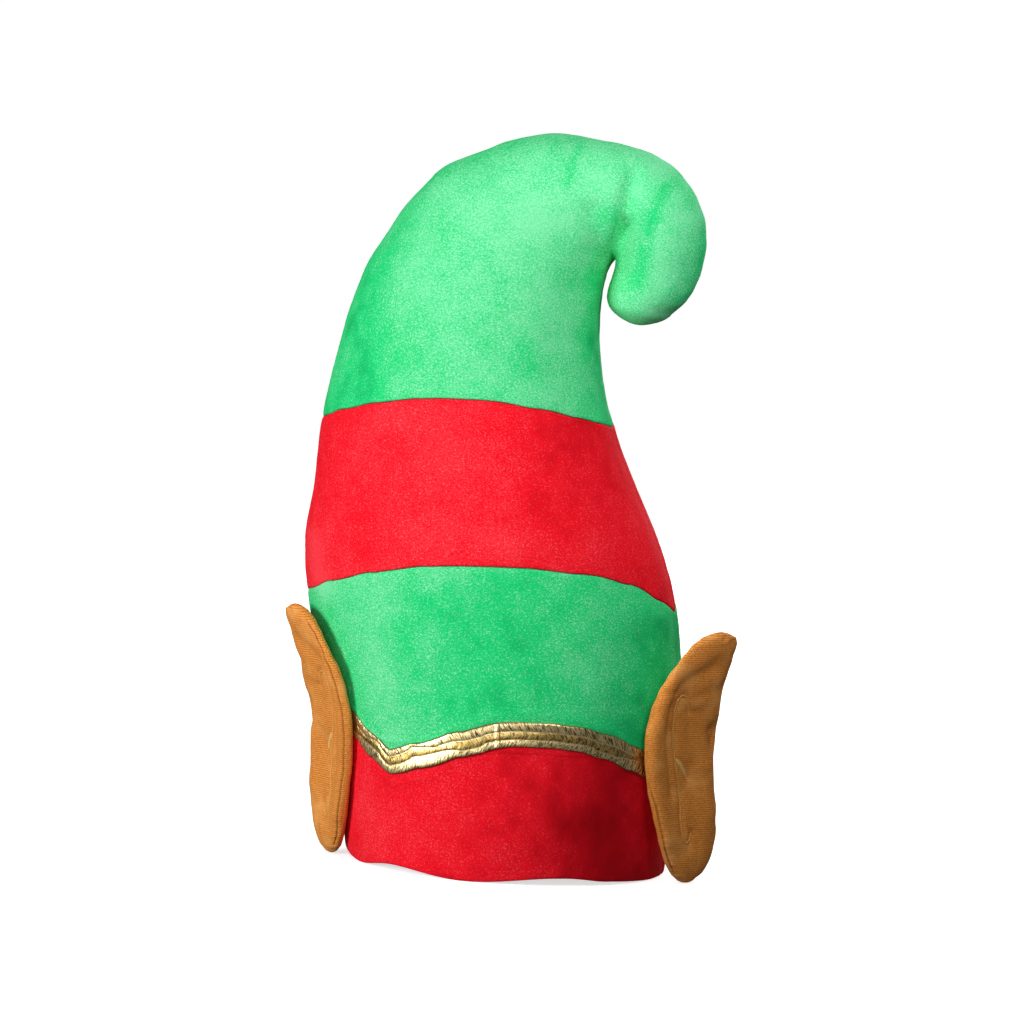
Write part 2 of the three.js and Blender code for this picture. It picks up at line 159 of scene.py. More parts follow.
# Painted highlights, pale where positive, and painted shade, dark where negative, on the front of the velour,
# with its
# nap: strokes between two points, as shares of the width and height, with their reach as a share of the
# width.
PEAK_NAP_AND_PAINTED_SHADING = ShareTable(
    "row from_x from_z to_x to_z reach pale",
    (-0.2, 0.8, -0.05, 0.86, 0.14, 0.04),
    (0.0, 0.87, 0.06, 0.885, 0.075, 0.4),
    (-0.13, 0.88, -0.06, 0.93, 0.06, 0.15),
    (0.13, 0.96, 0.27, 0.97, 0.06, 0.12),
    (0.37, 0.9, 0.31, 0.79, 0.04, 0.22),
    (-0.49, 0.7, -0.5, 0.6, 0.16, -0.62),
    (-0.47, 0.79, -0.38, 0.87, 0.08, -0.42),
    (-0.33, 0.93, -0.1, 0.985, 0.03, -0.3),
    (-0.3, 0.62, -0.1, 0.61, 0.1, -0.12),
    (0.0, 0.7, 0.02, 0.69, 0.045, -0.25),
    (0.11, 0.735, 0.13, 0.725, 0.035, -0.22),
    (0.325, 0.935, 0.302, 0.88, 0.019, -0.55),
    (0.288, 0.85, 0.27, 0.812, 0.028, -0.6),
    (0.355, 0.955, 0.345, 0.945, 0.02, -0.25),
    (0.09, 0.985, 0.075, 0.93, 0.012, -0.4),
    (0.2, 0.9, 0.205, 0.84, 0.03, -0.22),
    (0.44, 0.88, 0.38, 0.775, 0.028, -0.45),
    (0.15, 0.81, 0.16, 0.725, 0.025, -0.6),
    (0.168, 0.705, 0.215, 0.6, 0.03, -0.7),
    (-0.25, 0.76, -0.3, 0.7, 0.06, -0.1),
)
BAND_NAP_AND_PAINTED_SHADING = ShareTable(
    "row from_x from_z to_x to_z reach pale",
    (-0.5, 0.573, -0.33, 0.562, 0.012, 0.22),
    (-0.5, 0.557, -0.35, 0.548, 0.01, 0.2),
    (-0.2, 0.56, -0.14, 0.53, 0.12, 0.3),
    (-0.36, 0.6, -0.1, 0.63, 0.05, 0.2),
    (-0.3, 0.455, 0.02, 0.45, 0.06, 0.28),
    (-0.55, 0.43, -0.51, 0.37, 0.035, 0.8),
    (0.14, 0.61, 0.2, 0.57, 0.12, -0.2),
    (0.11, 0.5, 0.15, 0.48, 0.06, -0.12),
    (-0.34, 0.3, -0.27, 0.19, 0.065, 0.4),
    (-0.45, 0.36, -0.32, 0.37, 0.1, 0.3),
    (-0.3, 0.39, -0.1, 0.41, 0.04, 0.15),
    (0.22, 0.34, 0.25, 0.29, 0.08, 0.18),
    (0.02, 0.35, 0.05, 0.28, 0.13, -0.2),
    (-0.34, 0.08, -0.29, 0.05, 0.08, 0.35),
    (-0.17, 0.13, -0.1, 0.11, 0.1, 0.15),
    (0.15, 0.12, 0.3, 0.06, 0.12, -0.2),
    (0.33, 0.16, 0.36, 0.03, 0.12, -0.3),
    (0.41, 0.33, 0.4, 0.24, 0.07, -0.3),
)

# How far the hem lifts at each angle, as a share of its wave.
HEM_WAVES = ShareTable(
    "angle lift",
    (-112, 0.0),
    (-82, 1.0),
    (-54, 0.0),
    (-33, 0.75),
    (-4, 0.0),
    (30, 0.95),
    (52, 0.42),
    (78, 0.0),
    (135, 0.0),
    (180, 0.0),
    (225, 0.0),
    closed=True,
)

# The seams of the front panel, as shares of their drop. The back panel has them mirrored.
PANEL_SEAMS = ShareTable(
    "angle lower upper",
    (-90, 1.03, 1.01),
    (-70, 0.87, 0.85),
    (-50, 0.61, 0.58),
    (-30, 0.33, 0.3),
    (-10, 0.1, 0.08),
    (15, 0.0, 0.0),
    (40, 0.06, 0.15),
    (60, 0.25, 0.36),
    (75, 0.56, 0.51),
    (90, 0.84, 0.65),
)

# The ribbon's middle line, from 0 at its lower points to 1 at its front crest.
RIBBON_POINTS = ShareTable(
    "angle rise corner",
    (-49, 0.78, 0),
    (-40, 0.36, 0),
    (-31, 0.0, 1),
    (-19, 0.25, 0),
    (-4, 0.65, 0),
    (9, 0.95, 0),
    (21, 1.0, 0),
    (32, 0.95, 0),
    (43, 0.77, 0),
    (55, 0.46, 0),
    (71, 0.0, 1),
    (93, 0.65, 0),
    (115, 1.0, 0),
    (158, 0.0, 1),
    (180, 0.6, 0),
    (201, 1.0, 0),
    (243, 0.0, 1),
    (265, 0.75, 0),
    (288, 1.2, 0),
    closed=True,
)

# An ear from its lobe to its tip: its edges across it and its bow as shares of its width, and its
# thickness and hollow as shares of their own.
EAR_SECTIONS = ShareTable(
    "along front rear bow thick hollow",
    (0.012, 0.53, 0.75, 0.05, 0.5, 0.0),
    (0.045, 0.42, 0.87, 0.05, 0.85, 0.0),
    (0.1, 0.31, 0.97, 0.05, 1.0, 0.2),
    (0.18, 0.22, 1.04, 0.04, 1.05, 0.5),
    (0.28, 0.14, 1.05, 0.02, 1.0, 0.8),
    (0.38, 0.06, 1.01, 0.0, 1.0, 1.0),
    (0.48, 0.0, 0.98, 0.0, 1.0, 1.0),
    (0.58, -0.03, 0.99, 0.0, 1.0, 1.0),
    (0.68, 0.0, 1.0, 0.02, 1.0, 1.0),
    (0.76, 0.05, 0.99, 0.05, 0.98, 0.9),
    (0.83, 0.15, 1.01, 0.09, 0.95, 0.7),
    (0.89, 0.27, 1.04, 0.11, 0.9, 0.5),
    (0.945, 0.4, 1.06, 0.13, 0.95, 0.2),
    (0.98, 0.53, 1.03, 0.145, 0.85, 0.0),
    (0.999, 0.66, 0.94, 0.15, 0.55, 0.0),
)

# Folds and rolls of an ear's outer face, as shares of its width and length, with their reach as a share of
# the width and their height as a share of the thickness.
EAR_FOLDS = ShareTable(
    "row from_across from_along to_across to_along reach height",
    (0.3, 0.8, 0.7, 0.86, 0.09, -0.14),
    (0.5, 0.72, 0.8, 0.71, 0.07, 0.07),
    (0.86, 0.6, 0.9, 0.56, 0.1, -0.22),
    (0.55, 0.62, 0.62, 0.5, 0.12, -0.1),
    (0.62, 0.43, 0.66, 0.22, 0.12, -0.1),
    (0.82, 0.45, 0.86, 0.28, 0.14, 0.1),
    (0.5, 0.13, 0.72, 0.17, 0.07, -0.06),
    (0.97, 0.79, 1.02, 0.76, 0.07, -0.12),
)

# The padded roll along the ear's front edge and the valley behind it, as shares of its width and length.
EAR_ROLL = ShareTable(
    "row across along", (0.22, 0.8), (0.12, 0.7), (0.08, 0.58), (0.12, 0.44), (0.2, 0.32), (0.29, 0.18)
)
EAR_VALLEY = ShareTable(
    "row across along", (0.25, 0.76), (0.21, 0.66), (0.24, 0.56), (0.31, 0.46), (0.36, 0.36)
)

# The embroidered line down the ear's hollow, as shares of its width and length.
EAR_LINE = ShareTable(
    "row across along",
    (0.496, 0.69),
    (0.46, 0.733),
    (0.39, 0.752),
    (0.325, 0.735),
    (0.309, 0.679),
    (0.325, 0.605),
    (0.365, 0.531),
    (0.413, 0.463),
    (0.458, 0.412),
    (0.49, 0.339),
    (0.487, 0.267),
    (0.497, 0.21),
    (0.535, 0.172),
    (0.597, 0.175),
    (0.64, 0.21),
)

# The small embroidered lens beside it.
EAR_LENS = ShareTable("row across along", (0.403, 0.5), (0.465, 0.48), (0.525, 0.455), (0.587, 0.424))


def smoothstep(value: np.ndarray | float, low: float, high: float) -> np.ndarray:
    """Rises smoothly from 0 at low to 1 at high."""
    t = np.clip((value - low) / (high - low), 0, 1)
    return t * t * (3 - 2 * t)


def from_stroke(points: np.ndarray, start: np.ndarray, end: np.ndarray) -> np.ndarray:
    """Distances of points of a plane from the straight line between two others.

    Args:
        points: Places in the plane.
        start: One end of the line.
        end: Its other end.

    Returns:
        One distance for each point.
    """
    run = end - start
    share = np.clip((points - start) @ run / (run @ run), 0, 1)
    return np.linalg.norm(points - start - share[..., None] * run, axis=-1)


def strokes(table: ShareTable, points: np.ndarray, size: np.ndarray) -> np.ndarray:
    """Adds up what a table's strokes do at points of a plane.

    Args:
        table: Strokes, each a line between two points with its reach and its amount.
        points: Points of the plane, along the last axis, in metres.
        size: The width, which their reach is a share of too, and the height.

    Returns:
        The sum of the amounts at each point.
    """
    total = np.zeros(points.shape[:-1])
    for _, from_x, from_z, to_x, to_z, reach, amount in table.table:
        start, end = np.array([from_x, from_z]) * size, np.array([to_x, to_z]) * size
        total += amount * np.exp(-((from_stroke(points, start, end) / (reach * size[0])) ** 2))
    return total


class ClothNoise:
    """Smooth, repeatable unevenness in space."""

    def __init__(self, seed: int, cells: int = 32) -> None:
        """Fills a block of cells, which repeats in space, with values from -1 to 1.

        Args:
            seed: Seed of the values.
            cells: Cells along each side of the block.
        """
        self.cells = cells
        self.values = np.random.default_rng(seed).uniform(-1, 1, (cells, cells, cells))

    def at(self, points: np.ndarray, size: float) -> np.ndarray:
        """Reads the unevenness at points.

        Args:
            points: Points, in metres, along the last axis.
            size: Distance between one hump and the next, in metres.

        Returns:
            A value from -1 to 1 for each point.
        """
        scaled = points / size
        cell = np.floor(scaled).astype(int)
        t = scaled - cell
        t = t * t * (3 - 2 * t)
        total = np.zeros(points.shape[:-1])
        for corner in np.ndindex(2, 2, 2):
            x, y, z = ((cell + corner) % self.cells)[..., 0], (cell + corner)[..., 1], (cell + corner)[..., 2]
            weight = np.prod(np.where(corner, t, 1 - t), axis=-1)
            total += weight * self.values[x, y % self.cells, z % self.cells]
        return total


@dataclass(frozen=True)
class HatForm:
    """The form of the hat that all its pieces follow."""

    rim_width: float = 184 * MM
    rim_depth: float = 196 * MM
    body_width: float = 215 * MM
    body_depth: float = 170 * MM
    hat_height: float = 422 * MM
    tip_round: float = 9.5 * MM
    tip_fullness: float = 1.4
    cloth_wall: float = 3 * MM
    hem_wave: float = 4.5 * MM
    sewn_gap: float = 0.3 * MM
    lower_seam_height: float = 177.5 * MM
    lower_seam_drop: float = 30 * MM
    upper_seam_height: float = 270 * MM
    upper_seam_drop: float = 22 * MM
    ribbon_crest: float = 85 * MM
    ribbon_dip: float = 23 * MM
    bisections: int = 30

    @property
    def front(self) -> np.ndarray:
        """Width and height that places on the front are shares of."""
        return np.array([self.body_width, self.hat_height])

    @property
    def last_section(self) -> int:
        """The last row of the sections, where the rounded end of the curl begins."""
        return len(SECTIONS.table) - 1

    @property
    def offset(self) -> np.ndarray:
        """The rim's centre in the row frame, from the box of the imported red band.

        Returns:
            The centre, with a height of 0.
        """
        angles = np.arange(0, 360, 2.0)
        low, high = self.lower_seam(angles), self.upper_seam(angles)
        heights = low + (high - low) * np.linspace(0, 1, 12)[:, None]
        own = self.bare_point(angles, self.station_at(angles, heights))
        middle = (own.min((0, 1)) + own.max((0, 1))) / 2
        packed = sum(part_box("red_band"), Vector()) / 2
        return np.array([packed.x - middle[0], packed.y - middle[1], 0])

    def section_at(self, station: np.ndarray, inset: np.ndarray | float) -> tuple[np.ndarray, ...]:
        """Reads the section at a station, counted in rows of the table.

        Args:
            station: The station. Past the last row the section shrinks to the end of the curl.
            inset: How far inside the outer surface.

        Returns:
            The section's centre and its direction across, each as X and Z, and its half width and depth.
        """
        place = np.minimum(station, self.last_section)
        width = self.body_width + (self.rim_width - self.body_width) * SECTIONS.at("rim", place)
        depth = self.body_depth + (self.rim_depth - self.body_depth) * SECTIONS.at("rim", place)
        outer_x, inner_x = (SECTIONS.at(name, place) * width for name in ("outer_x", "inner_x"))
        outer_z, inner_z = (SECTIONS.at(name, place) * self.hat_height for name in ("outer_z", "inner_z"))
        length = np.hypot(inner_x - outer_x, inner_z - outer_z)
        across_x, across_z = (inner_x - outer_x) / length, (inner_z - outer_z) / length
        turn = math.pi / 2 * np.maximum(0, station - self.last_section)
        beyond = (self.tip_round - inset) * np.sin(turn)
        centre_x = (outer_x + inner_x) / 2 - across_z * beyond
        centre_z = (outer_z + inner_z) / 2 + across_x * beyond
        left = np.sqrt(1 - np.sin(turn) ** self.tip_fullness)
        half_width = (length / 2 - inset) * left
        half_depth = (SECTIONS.at("depth", place) * depth / 2 - inset) * left
        return centre_x, centre_z, across_x, across_z, half_width, half_depth

    def crease_depth(self, x: np.ndarray, z: np.ndarray) -> np.ndarray:
        """How far the creases pull the cloth in at points seen from the front."""
        points = np.stack(np.broadcast_arrays(x, z), axis=-1)
        return strokes(CREASES, points, self.front) * self.body_depth

    def nap_and_painted_shading(self, table: ShareTable, points: np.ndarray, base: float) -> np.ndarray:
        """How pale the velour is at points of the hat: its nap's random clouds, with painted highlights and
        painted shade.

        Args:
            table: The strokes of painted highlight and painted shade on the front of the hat.
            points: The points, in the row frame.
            base: How pale it is between the strokes.

        Returns:
            The paleness, from 0 to 1, or down to -1 where painted shade and the nap's deep clouds darken it.
        """
        seen = points[..., [0, 2]] - OFFSET[[0, 2]]
        # The strokes are painted highlights and painted shade, kept to the front; the noise below is the
        # nap's own random clouds.
        drawn = strokes(table, seen, self.front)
        front = smoothstep(-points[..., 1], -25 * MM, 5 * MM)
        loose = 0.22 * RELIEF.noise.at(points, 55 * MM) * (1 - front)
        mottled = 0.2 * RELIEF.noise.at(points, 17 * MM) + 0.18 * RELIEF.noise.at(points + 1, 7 * MM)
        return np.clip(base + drawn * front + loose + mottled, -1, 1)

    def bare_point(self, angle: np.ndarray, station: np.ndarray, inset: np.ndarray | float = 0) -> np.ndarray:
        """A point of the hat with the rim's centre as the origin.

        Args:
            angle: Angle round the hat.
            station: Station along it.
            inset: How far inside the outer surface.

        Returns:
            The points, along the last axis.
        """
        centre_x, centre_z, across_x, across_z, half_width, half_depth = self.section_at(station, inset)
        reach, facing = np.sin(np.radians(angle)), np.cos(np.radians(angle))
        x = centre_x + across_x * half_width * reach
        z = centre_z + across_z * half_width * reach
        pull = np.minimum(self.crease_depth(x, z) * np.abs(facing), half_depth / 2)
        return np.stack(np.broadcast_arrays(x, -facing * (half_depth - pull), z), axis=-1)

    def station_at(self, angle: np.ndarray, height: np.ndarray) -> np.ndarray:
        """The station at which the outer surface reaches a height, below the bend.

        Args:
            angle: Angles round the hat, in degrees.
            height: Heights above the rim.

        Returns:
            One station for each pair.
        """
        angle, height = np.broadcast_arrays(np.asarray(angle, float), height)
        low, high = np.zeros(angle.shape), np.full(angle.shape, self.last_section / 2)
        for _ in range(self.bisections):
            middle = (low + high) / 2
            under = self.bare_point(angle, middle)[..., 2] < height
            low, high = np.where(under, middle, low), np.where(under, high, middle)
        return (low + high) / 2

    def panel_drop(self, column: str, angle: np.ndarray) -> np.ndarray:
        """A panel seam's share of its drop at an angle, on the front or the back panel."""
        return PANEL_SEAMS.at(column, np.degrees(np.arcsin(np.sin(np.radians(angle)))))

    def lower_seam(self, angle: np.ndarray) -> np.ndarray:
        """Height of the seam from the green band to the red band."""
        return self.lower_seam_height - self.lower_seam_drop * self.panel_drop("lower", angle)

    def upper_seam(self, angle: np.ndarray) -> np.ndarray:
        """Height of the seam from the red band to the green peak."""
        return self.upper_seam_height - self.upper_seam_drop * self.panel_drop("upper", angle)

    def hem(self, angle: np.ndarray) -> np.ndarray:
        """Height of the hem's folded edge."""
        return self.hem_wave * np.maximum(0, HEM_WAVES.at("lift", np.mod(angle + 180, 360) - 180))

    def ribbon_line(self, angle: np.ndarray) -> np.ndarray:
        """Height of the ribbon's middle line."""
        rise = RIBBON_POINTS.at("rise", np.mod(angle + 180, 360) - 180)
        return self.ribbon_crest - self.ribbon_dip * (1 - rise)


FORM = HatForm()
OFFSET = FORM.offset


def hat_point(angle: np.ndarray, station: np.ndarray, inset: np.ndarray | float = 0) -> np.ndarray:
    """A point of the hat in the row frame."""
    return FORM.bare_point(angle, station, inset) + OFFSET


def normals_of(grid: np.ndarray) -> np.ndarray:
    """Outward unit normals of a grid of rows that run up and columns that go once round the hat.

    Args:
        grid: Points by row and column.

    Returns:
        One normal for each point.
    """
    along = np.gradient(grid, axis=0)
    round_it = np.roll(grid, -1, axis=1) - np.roll(grid, 1, axis=1)
    normal = np.cross(round_it, along)
    return normal / np.maximum(np.linalg.norm(normal, axis=-1, keepdims=True), 1e-12)


def grid_faces(rows: int, columns: int, closed: bool) -> np.ndarray:
    """Faces of a grid whose last column meets its first.

    Args:
        rows: Rows of points.
        columns: Points in a row.
        closed: Whether the last row meets the first as well.

    Returns:
        Four corners for each face.
    """
    row, column = np.meshgrid(np.arange(rows if closed else rows - 1), np.arange(columns), indexing="ij")
    above, beside = (row + 1) % rows, (column + 1) % columns
    here, over = row * columns, above * columns
    corners = [here + column, here + beside, over + beside, over + column]
    return np.stack(corners, axis=-1).reshape(-1, 4)


def make_object(
    name: str, points: np.ndarray, faces: list, uv: np.ndarray | None = None, values: dict | None = None
) -> bpy.types.Object:
    """Makes a smooth mesh object at the origin.

    Args:
        name: The piece's name.
        points: Its points.
        faces: Its faces, as lists of points.
        uv: A pattern coordinate for each point, where the pattern follows the surface.
        values: A value for each point, by the name of its attribute.

    Returns:
        The object, linked to the scene.
    """
    mesh = bpy.data.meshes.new(name)
    mesh.from_pydata(points.reshape(-1, 3).tolist(), [], faces)
    mesh.polygons.foreach_set("use_smooth", np.ones(len(mesh.polygons), bool))
    if uv is not None:
        corner = np.empty(len(mesh.loops), int)
        mesh.loops.foreach_get("vertex_index", corner)
        layer = mesh.uv_layers.new(name="Cloth")
        layer.data.foreach_set("uv", uv.reshape(-1, 2)[corner].ravel())
    for title, value in (values or {}).items():
        attribute = mesh.attributes.new(title, "FLOAT", "POINT")
        attribute.data.foreach_set("value", np.ascontiguousarray(value, np.float32).ravel())
    mesh.update()
    made = bpy.data.objects.new(name, mesh)
    bpy.context.scene.collection.objects.link(made)
    return made


def report(piece: bpy.types.Object) -> None:
    """Logs a piece and its size."""
    piece.data.calc_loop_triangles()
    log.info("%s: %d triangles", piece.name, len(piece.data.loop_triangles))


def declare(piece: bpy.types.Object, node: str | None) -> None:
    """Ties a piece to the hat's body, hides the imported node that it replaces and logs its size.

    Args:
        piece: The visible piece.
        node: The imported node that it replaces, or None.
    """
    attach(piece, "root")
    if node:
        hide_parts(node)
    report(piece)


def linear(colour: str) -> tuple[float, float, float, float]:
    """Turns an sRGB hex colour to linear light."""
    parts = [int(colour[i : i + 2], 16) / 255 for i in (1, 3, 5)]
    return (*(c / 12.92 if c <= 0.04045 else ((c + 0.055) / 1.055) ** 2.4 for c in parts), 1.0)


def add_node(tree: bpy.types.NodeTree, kind: str, settings: dict, inputs: dict) -> bpy.types.Node:
    """Adds a node to a material.

    Args:
        tree: The material's nodes.
        kind: The node's type.
        settings: Its own properties.
        inputs: A value or another node's output for each of its inputs, by name or number.

    Returns:
        The node.
    """
    node = tree.nodes.new(kind)
    for name, value in settings.items():
        setattr(node, name, value)
    for name, value in inputs.items():
        if isinstance(value, bpy.types.NodeSocket):
            tree.links.new(value, node.inputs[name])
        else:
            node.inputs[name].default_value = value
    return node


def blank_material(name: str) -> tuple[bpy.types.Material, bpy.types.NodeTree]:
    """Makes a material with nothing in it but its output.

    Args:
        name: The material's name.

    Returns:
        The material, and its node tree.
    """
    material = bpy.data.materials.new(name)
    material.use_nodes = True
    tree = material.node_tree
    tree.nodes.clear()
    return material, tree


class Finish(Protocol):
    """A finish of one of the hat's pieces."""

    name: str

    def material(self) -> bpy.types.Material:
        """Makes the finish's material."""


def dress(piece: bpy.types.Object, finish: Finish) -> None:
    """Gives a piece its finish's material, which is made once and shared."""
    piece.data.materials.append(bpy.data.materials.get(finish.name) or finish.material())


@dataclass(frozen=True)
class VelourFinish:
    """Polyester velour: a knit whose loops are cut to a short dense pile.

    The pile lies in soft random clouds, pale and deep, under painted highlights and painted shade in the same
    colours, and tiny painted glints lighten its colour. It has no gloss.
    """

    name: str
    # deep is the colour of painted shade and of the deep nap, lit that of painted highlights and of the pale
    # nap, and glint that of the painted glints and of the faint sheen.
    deep: str
    body: str
    lit: str
    glint: str
    tuft_wide: float = 1.0 * MM
    tuft_high: float = 0.7 * MM
    uneven: float = 0.55
    painted_glint_share: float = 0.5
    pile_height: float = 0.35 * MM

    def material(self) -> bpy.types.Material:
        """Makes the material. Real tufts are 0.3 mm apart, too fine to show, so they are drawn coarser.

        Returns:
            The material.
        """
        material, tree = blank_material(self.name)
        place = add_node(tree, "ShaderNodeTexCoord", {}, {}).outputs["Object"]
        # The attribute holds painted highlights and painted shade together with the nap's clouds.
        nap_and_painted_shading = add_node(tree, "ShaderNodeAttribute", {"attribute_name": "nap_and_painted_shading"}, {}).outputs["Fac"]
        tufts = add_node(
            tree,
            "ShaderNodeMapping",
            {},
            {"Vector": place, "Scale": (1 / self.tuft_wide, 1 / self.tuft_wide, 1 / self.tuft_high)},
        ).outputs[0]
        pile = add_node(
            tree, "ShaderNodeTexNoise", {}, {"Vector": tufts, "Scale": 1.0, "Detail": 2.0, "Roughness": 0.65}
        ).outputs["Fac"]
        lie = add_node(
            tree,
            "ShaderNodeMapRange",
            {},
            {
                "Value": pile,
                "From Min": 0.32,
                "From Max": 0.68,
                "To Min": -self.uneven,
                "To Max": self.uneven,
            },
        ).outputs["Result"]
        pale = add_node(
            tree, "ShaderNodeMath", {"operation": "ADD", "use_clamp": True}, {0: nap_and_painted_shading, 1: lie}
        ).outputs[0]
        # The deep colour's share: painted shade, with the nap's deep clouds.
        painted_shade_share = add_node(
            tree, "ShaderNodeMath", {"operation": "MULTIPLY", "use_clamp": True}, {0: nap_and_painted_shading, 1: -1.0}
        ).outputs[0]
        upright = add_node(
            tree,
            "ShaderNodeMix",
            {"data_type": "RGBA"},
            {0: painted_shade_share, 6: linear(self.body), 7: linear(self.deep)},
        ).outputs[2]
        cloth = add_node(
            tree, "ShaderNodeMix", {"data_type": "RGBA"}, {0: pale, 6: upright, 7: linear(self.lit)}
        ).outputs[2]
        # Painted glints: the pale pile's highest tufts are lightened towards the glint colour.
        bright = add_node(
            tree,
            "ShaderNodeMapRange",
            {},
            {"Value": pile, "From Min": 0.56, "From Max": 0.7, "To Min": 0.0, "To Max": self.painted_glint_share},
        ).outputs["Result"]
        painted_glints = add_node(tree, "ShaderNodeMath", {"operation": "MULTIPLY"}, {0: bright, 1: pale}).outputs[0]
        colour = add_node(
            tree, "ShaderNodeMix", {"data_type": "RGBA"}, {0: painted_glints, 6: cloth, 7: linear(self.glint)}
        ).outputs[2]
        relief = add_node(
            tree, "ShaderNodeBump", {}, {"Strength": 0.3, "Distance": self.pile_height, "Height": pile}
        ).outputs["Normal"]
        velour = add_node(
            tree,
            "ShaderNodeBsdfPrincipled",
            {},
            {
                "Base Color": colour,
                "Roughness": 0.85,
                "IOR": 1.5,
                "Specular IOR Level": 0.1,
                "Sheen Weight": 0.04,
                "Sheen Roughness": 0.5,
                "Sheen Tint": linear(self.glint),
                "Normal": relief,
            },
        ).outputs["BSDF"]
        add_node(tree, "ShaderNodeOutputMaterial", {}, {"Surface": velour})
        return material


@dataclass(frozen=True)
class FoilRibbonFinish:
    """Ribbon woven of flat metallised yarn under clear lacquer, machine stitched in three lanes.

    The foil is crumpled as fine as the weave, so it flashes near white; its creases are painted dark olive,
    as painted shade.
    """

    name: str = "woven_gold_foil_ribbon"
    bright: str = "#F8E0A0"
    lane: str = "#DDBA6A"
    painted_crease_shade: str = "#5E4816"
    selvedge: str = "#8A6428"
    crinkle: float = 0.9 * MM
    half_width: float = 7 * MM
    herring: float = 1.6 * MM
    slant: float = 4 * MM

    def material(self) -> bpy.types.Material:
        """Makes the material on the ribbon's own coordinates: metres along it, and -1 to 1 across it.

        Returns:
            The material.
        """
        material, tree = blank_material(self.name)
        strip = add_node(tree, "ShaderNodeUVMap", {"uv_map": "Cloth"}, {}).outputs["UV"]
        axes = add_node(tree, "ShaderNodeSeparateXYZ", {}, {"Vector": strip})
        outwards = add_node(
            tree, "ShaderNodeMath", {"operation": "ABSOLUTE"}, {0: axes.outputs["Y"]}
        ).outputs[0]
        slant = add_node(
            tree, "ShaderNodeMath", {"operation": "MULTIPLY"}, {0: outwards, 1: self.slant}
        ).outputs[0]
        run = add_node(
            tree, "ShaderNodeMath", {"operation": "ADD"}, {0: axes.outputs["X"], 1: slant}
        ).outputs[0]
        slanted = add_node(tree, "ShaderNodeCombineXYZ", {}, {"X": run, "Y": axes.outputs["Y"]}).outputs[0]
        size = (1 / self.crinkle, 0.3 * self.half_width / self.crinkle, 1.0)
        stretched = add_node(tree, "ShaderNodeMapping", {}, {"Vector": slanted, "Scale": size}).outputs[0]
        creases = add_node(
            tree,
            "ShaderNodeTexNoise",
            {},
            {"Vector": stretched, "Scale": 1.0, "Detail": 3.0, "Roughness": 0.6, "Distortion": 0.6},
        ).outputs["Fac"]
        turn = 2 * math.pi / self.herring
        phase = add_node(tree, "ShaderNodeMath", {"operation": "MULTIPLY"}, {0: run, 1: turn}).outputs[0]
        ribs = add_node(tree, "ShaderNodeMath", {"operation": "SINE"}, {0: phase}).outputs[0]
        middle = add_node(
            tree, "ShaderNodeMapRange", {}, {"Value": outwards, "From Min": 0.3, "From Max": 0.36}
        ).outputs["Result"]
        lanes = add_node(
            tree,
            "ShaderNodeMix",
            {"data_type": "RGBA"},
            {0: middle, 6: linear(self.lane), 7: linear(self.bright)},
        ).outputs[2]
        # Painted shade: the foil's colour goes dark olive in the crinkles' creases.
        folded = add_node(
            tree, "ShaderNodeMapRange", {}, {"Value": creases, "From Min": 0.4, "From Max": 0.54}
        ).outputs["Result"]
        foil = add_node(
            tree, "ShaderNodeMix", {"data_type": "RGBA"}, {0: folded, 6: linear(self.painted_crease_shade), 7: lanes}
        ).outputs[2]
        beside = add_node(
            tree, "ShaderNodeMath", {"operation": "SUBTRACT"}, {0: outwards, 1: 1 / 3}
        ).outputs[0]
        off = add_node(tree, "ShaderNodeMath", {"operation": "ABSOLUTE"}, {0: beside}).outputs[0]
        thread = add_node(
            tree,
            "ShaderNodeMapRange",
            {},
            {"Value": off, "From Min": 0.03, "From Max": 0.06, "To Min": 0.7, "To Max": 0.0},
        ).outputs["Result"]
        stitched = add_node(
            tree, "ShaderNodeMix", {"data_type": "RGBA"}, {0: thread, 6: foil, 7: linear(self.bright)}
        ).outputs[2]
        edge = add_node(
            tree, "ShaderNodeMapRange", {}, {"Value": outwards, "From Min": 0.92, "From Max": 0.97}
        ).outputs["Result"]
        colour = add_node(
            tree, "ShaderNodeMix", {"data_type": "RGBA"}, {0: edge, 6: stitched, 7: linear(self.selvedge)}
        ).outputs[2]
        raised = add_node(tree, "ShaderNodeMath", {"operation": "MULTIPLY"}, {0: ribs, 1: 0.12}).outputs[0]
        height = add_node(tree, "ShaderNodeMath", {"operation": "ADD"}, {0: creases, 1: raised}).outputs[0]
        relief = add_node(
            tree, "ShaderNodeBump", {}, {"Strength": 0.7, "Distance": 0.16 * MM, "Height": height}
        ).outputs["Normal"]
        yarn = add_node(
            tree,
            "ShaderNodeBsdfPrincipled",
            {},
            {
                "Base Color": colour,
                "Metallic": 0.92,
                "Roughness": 0.34,
                "Coat Weight": 0.7,
                "Coat Roughness": 0.26,
                "Coat IOR": 1.5,
                "Normal": relief,
            },
        ).outputs["BSDF"]
        add_node(tree, "ShaderNodeOutputMaterial", {}, {"Surface": yarn})
        return material


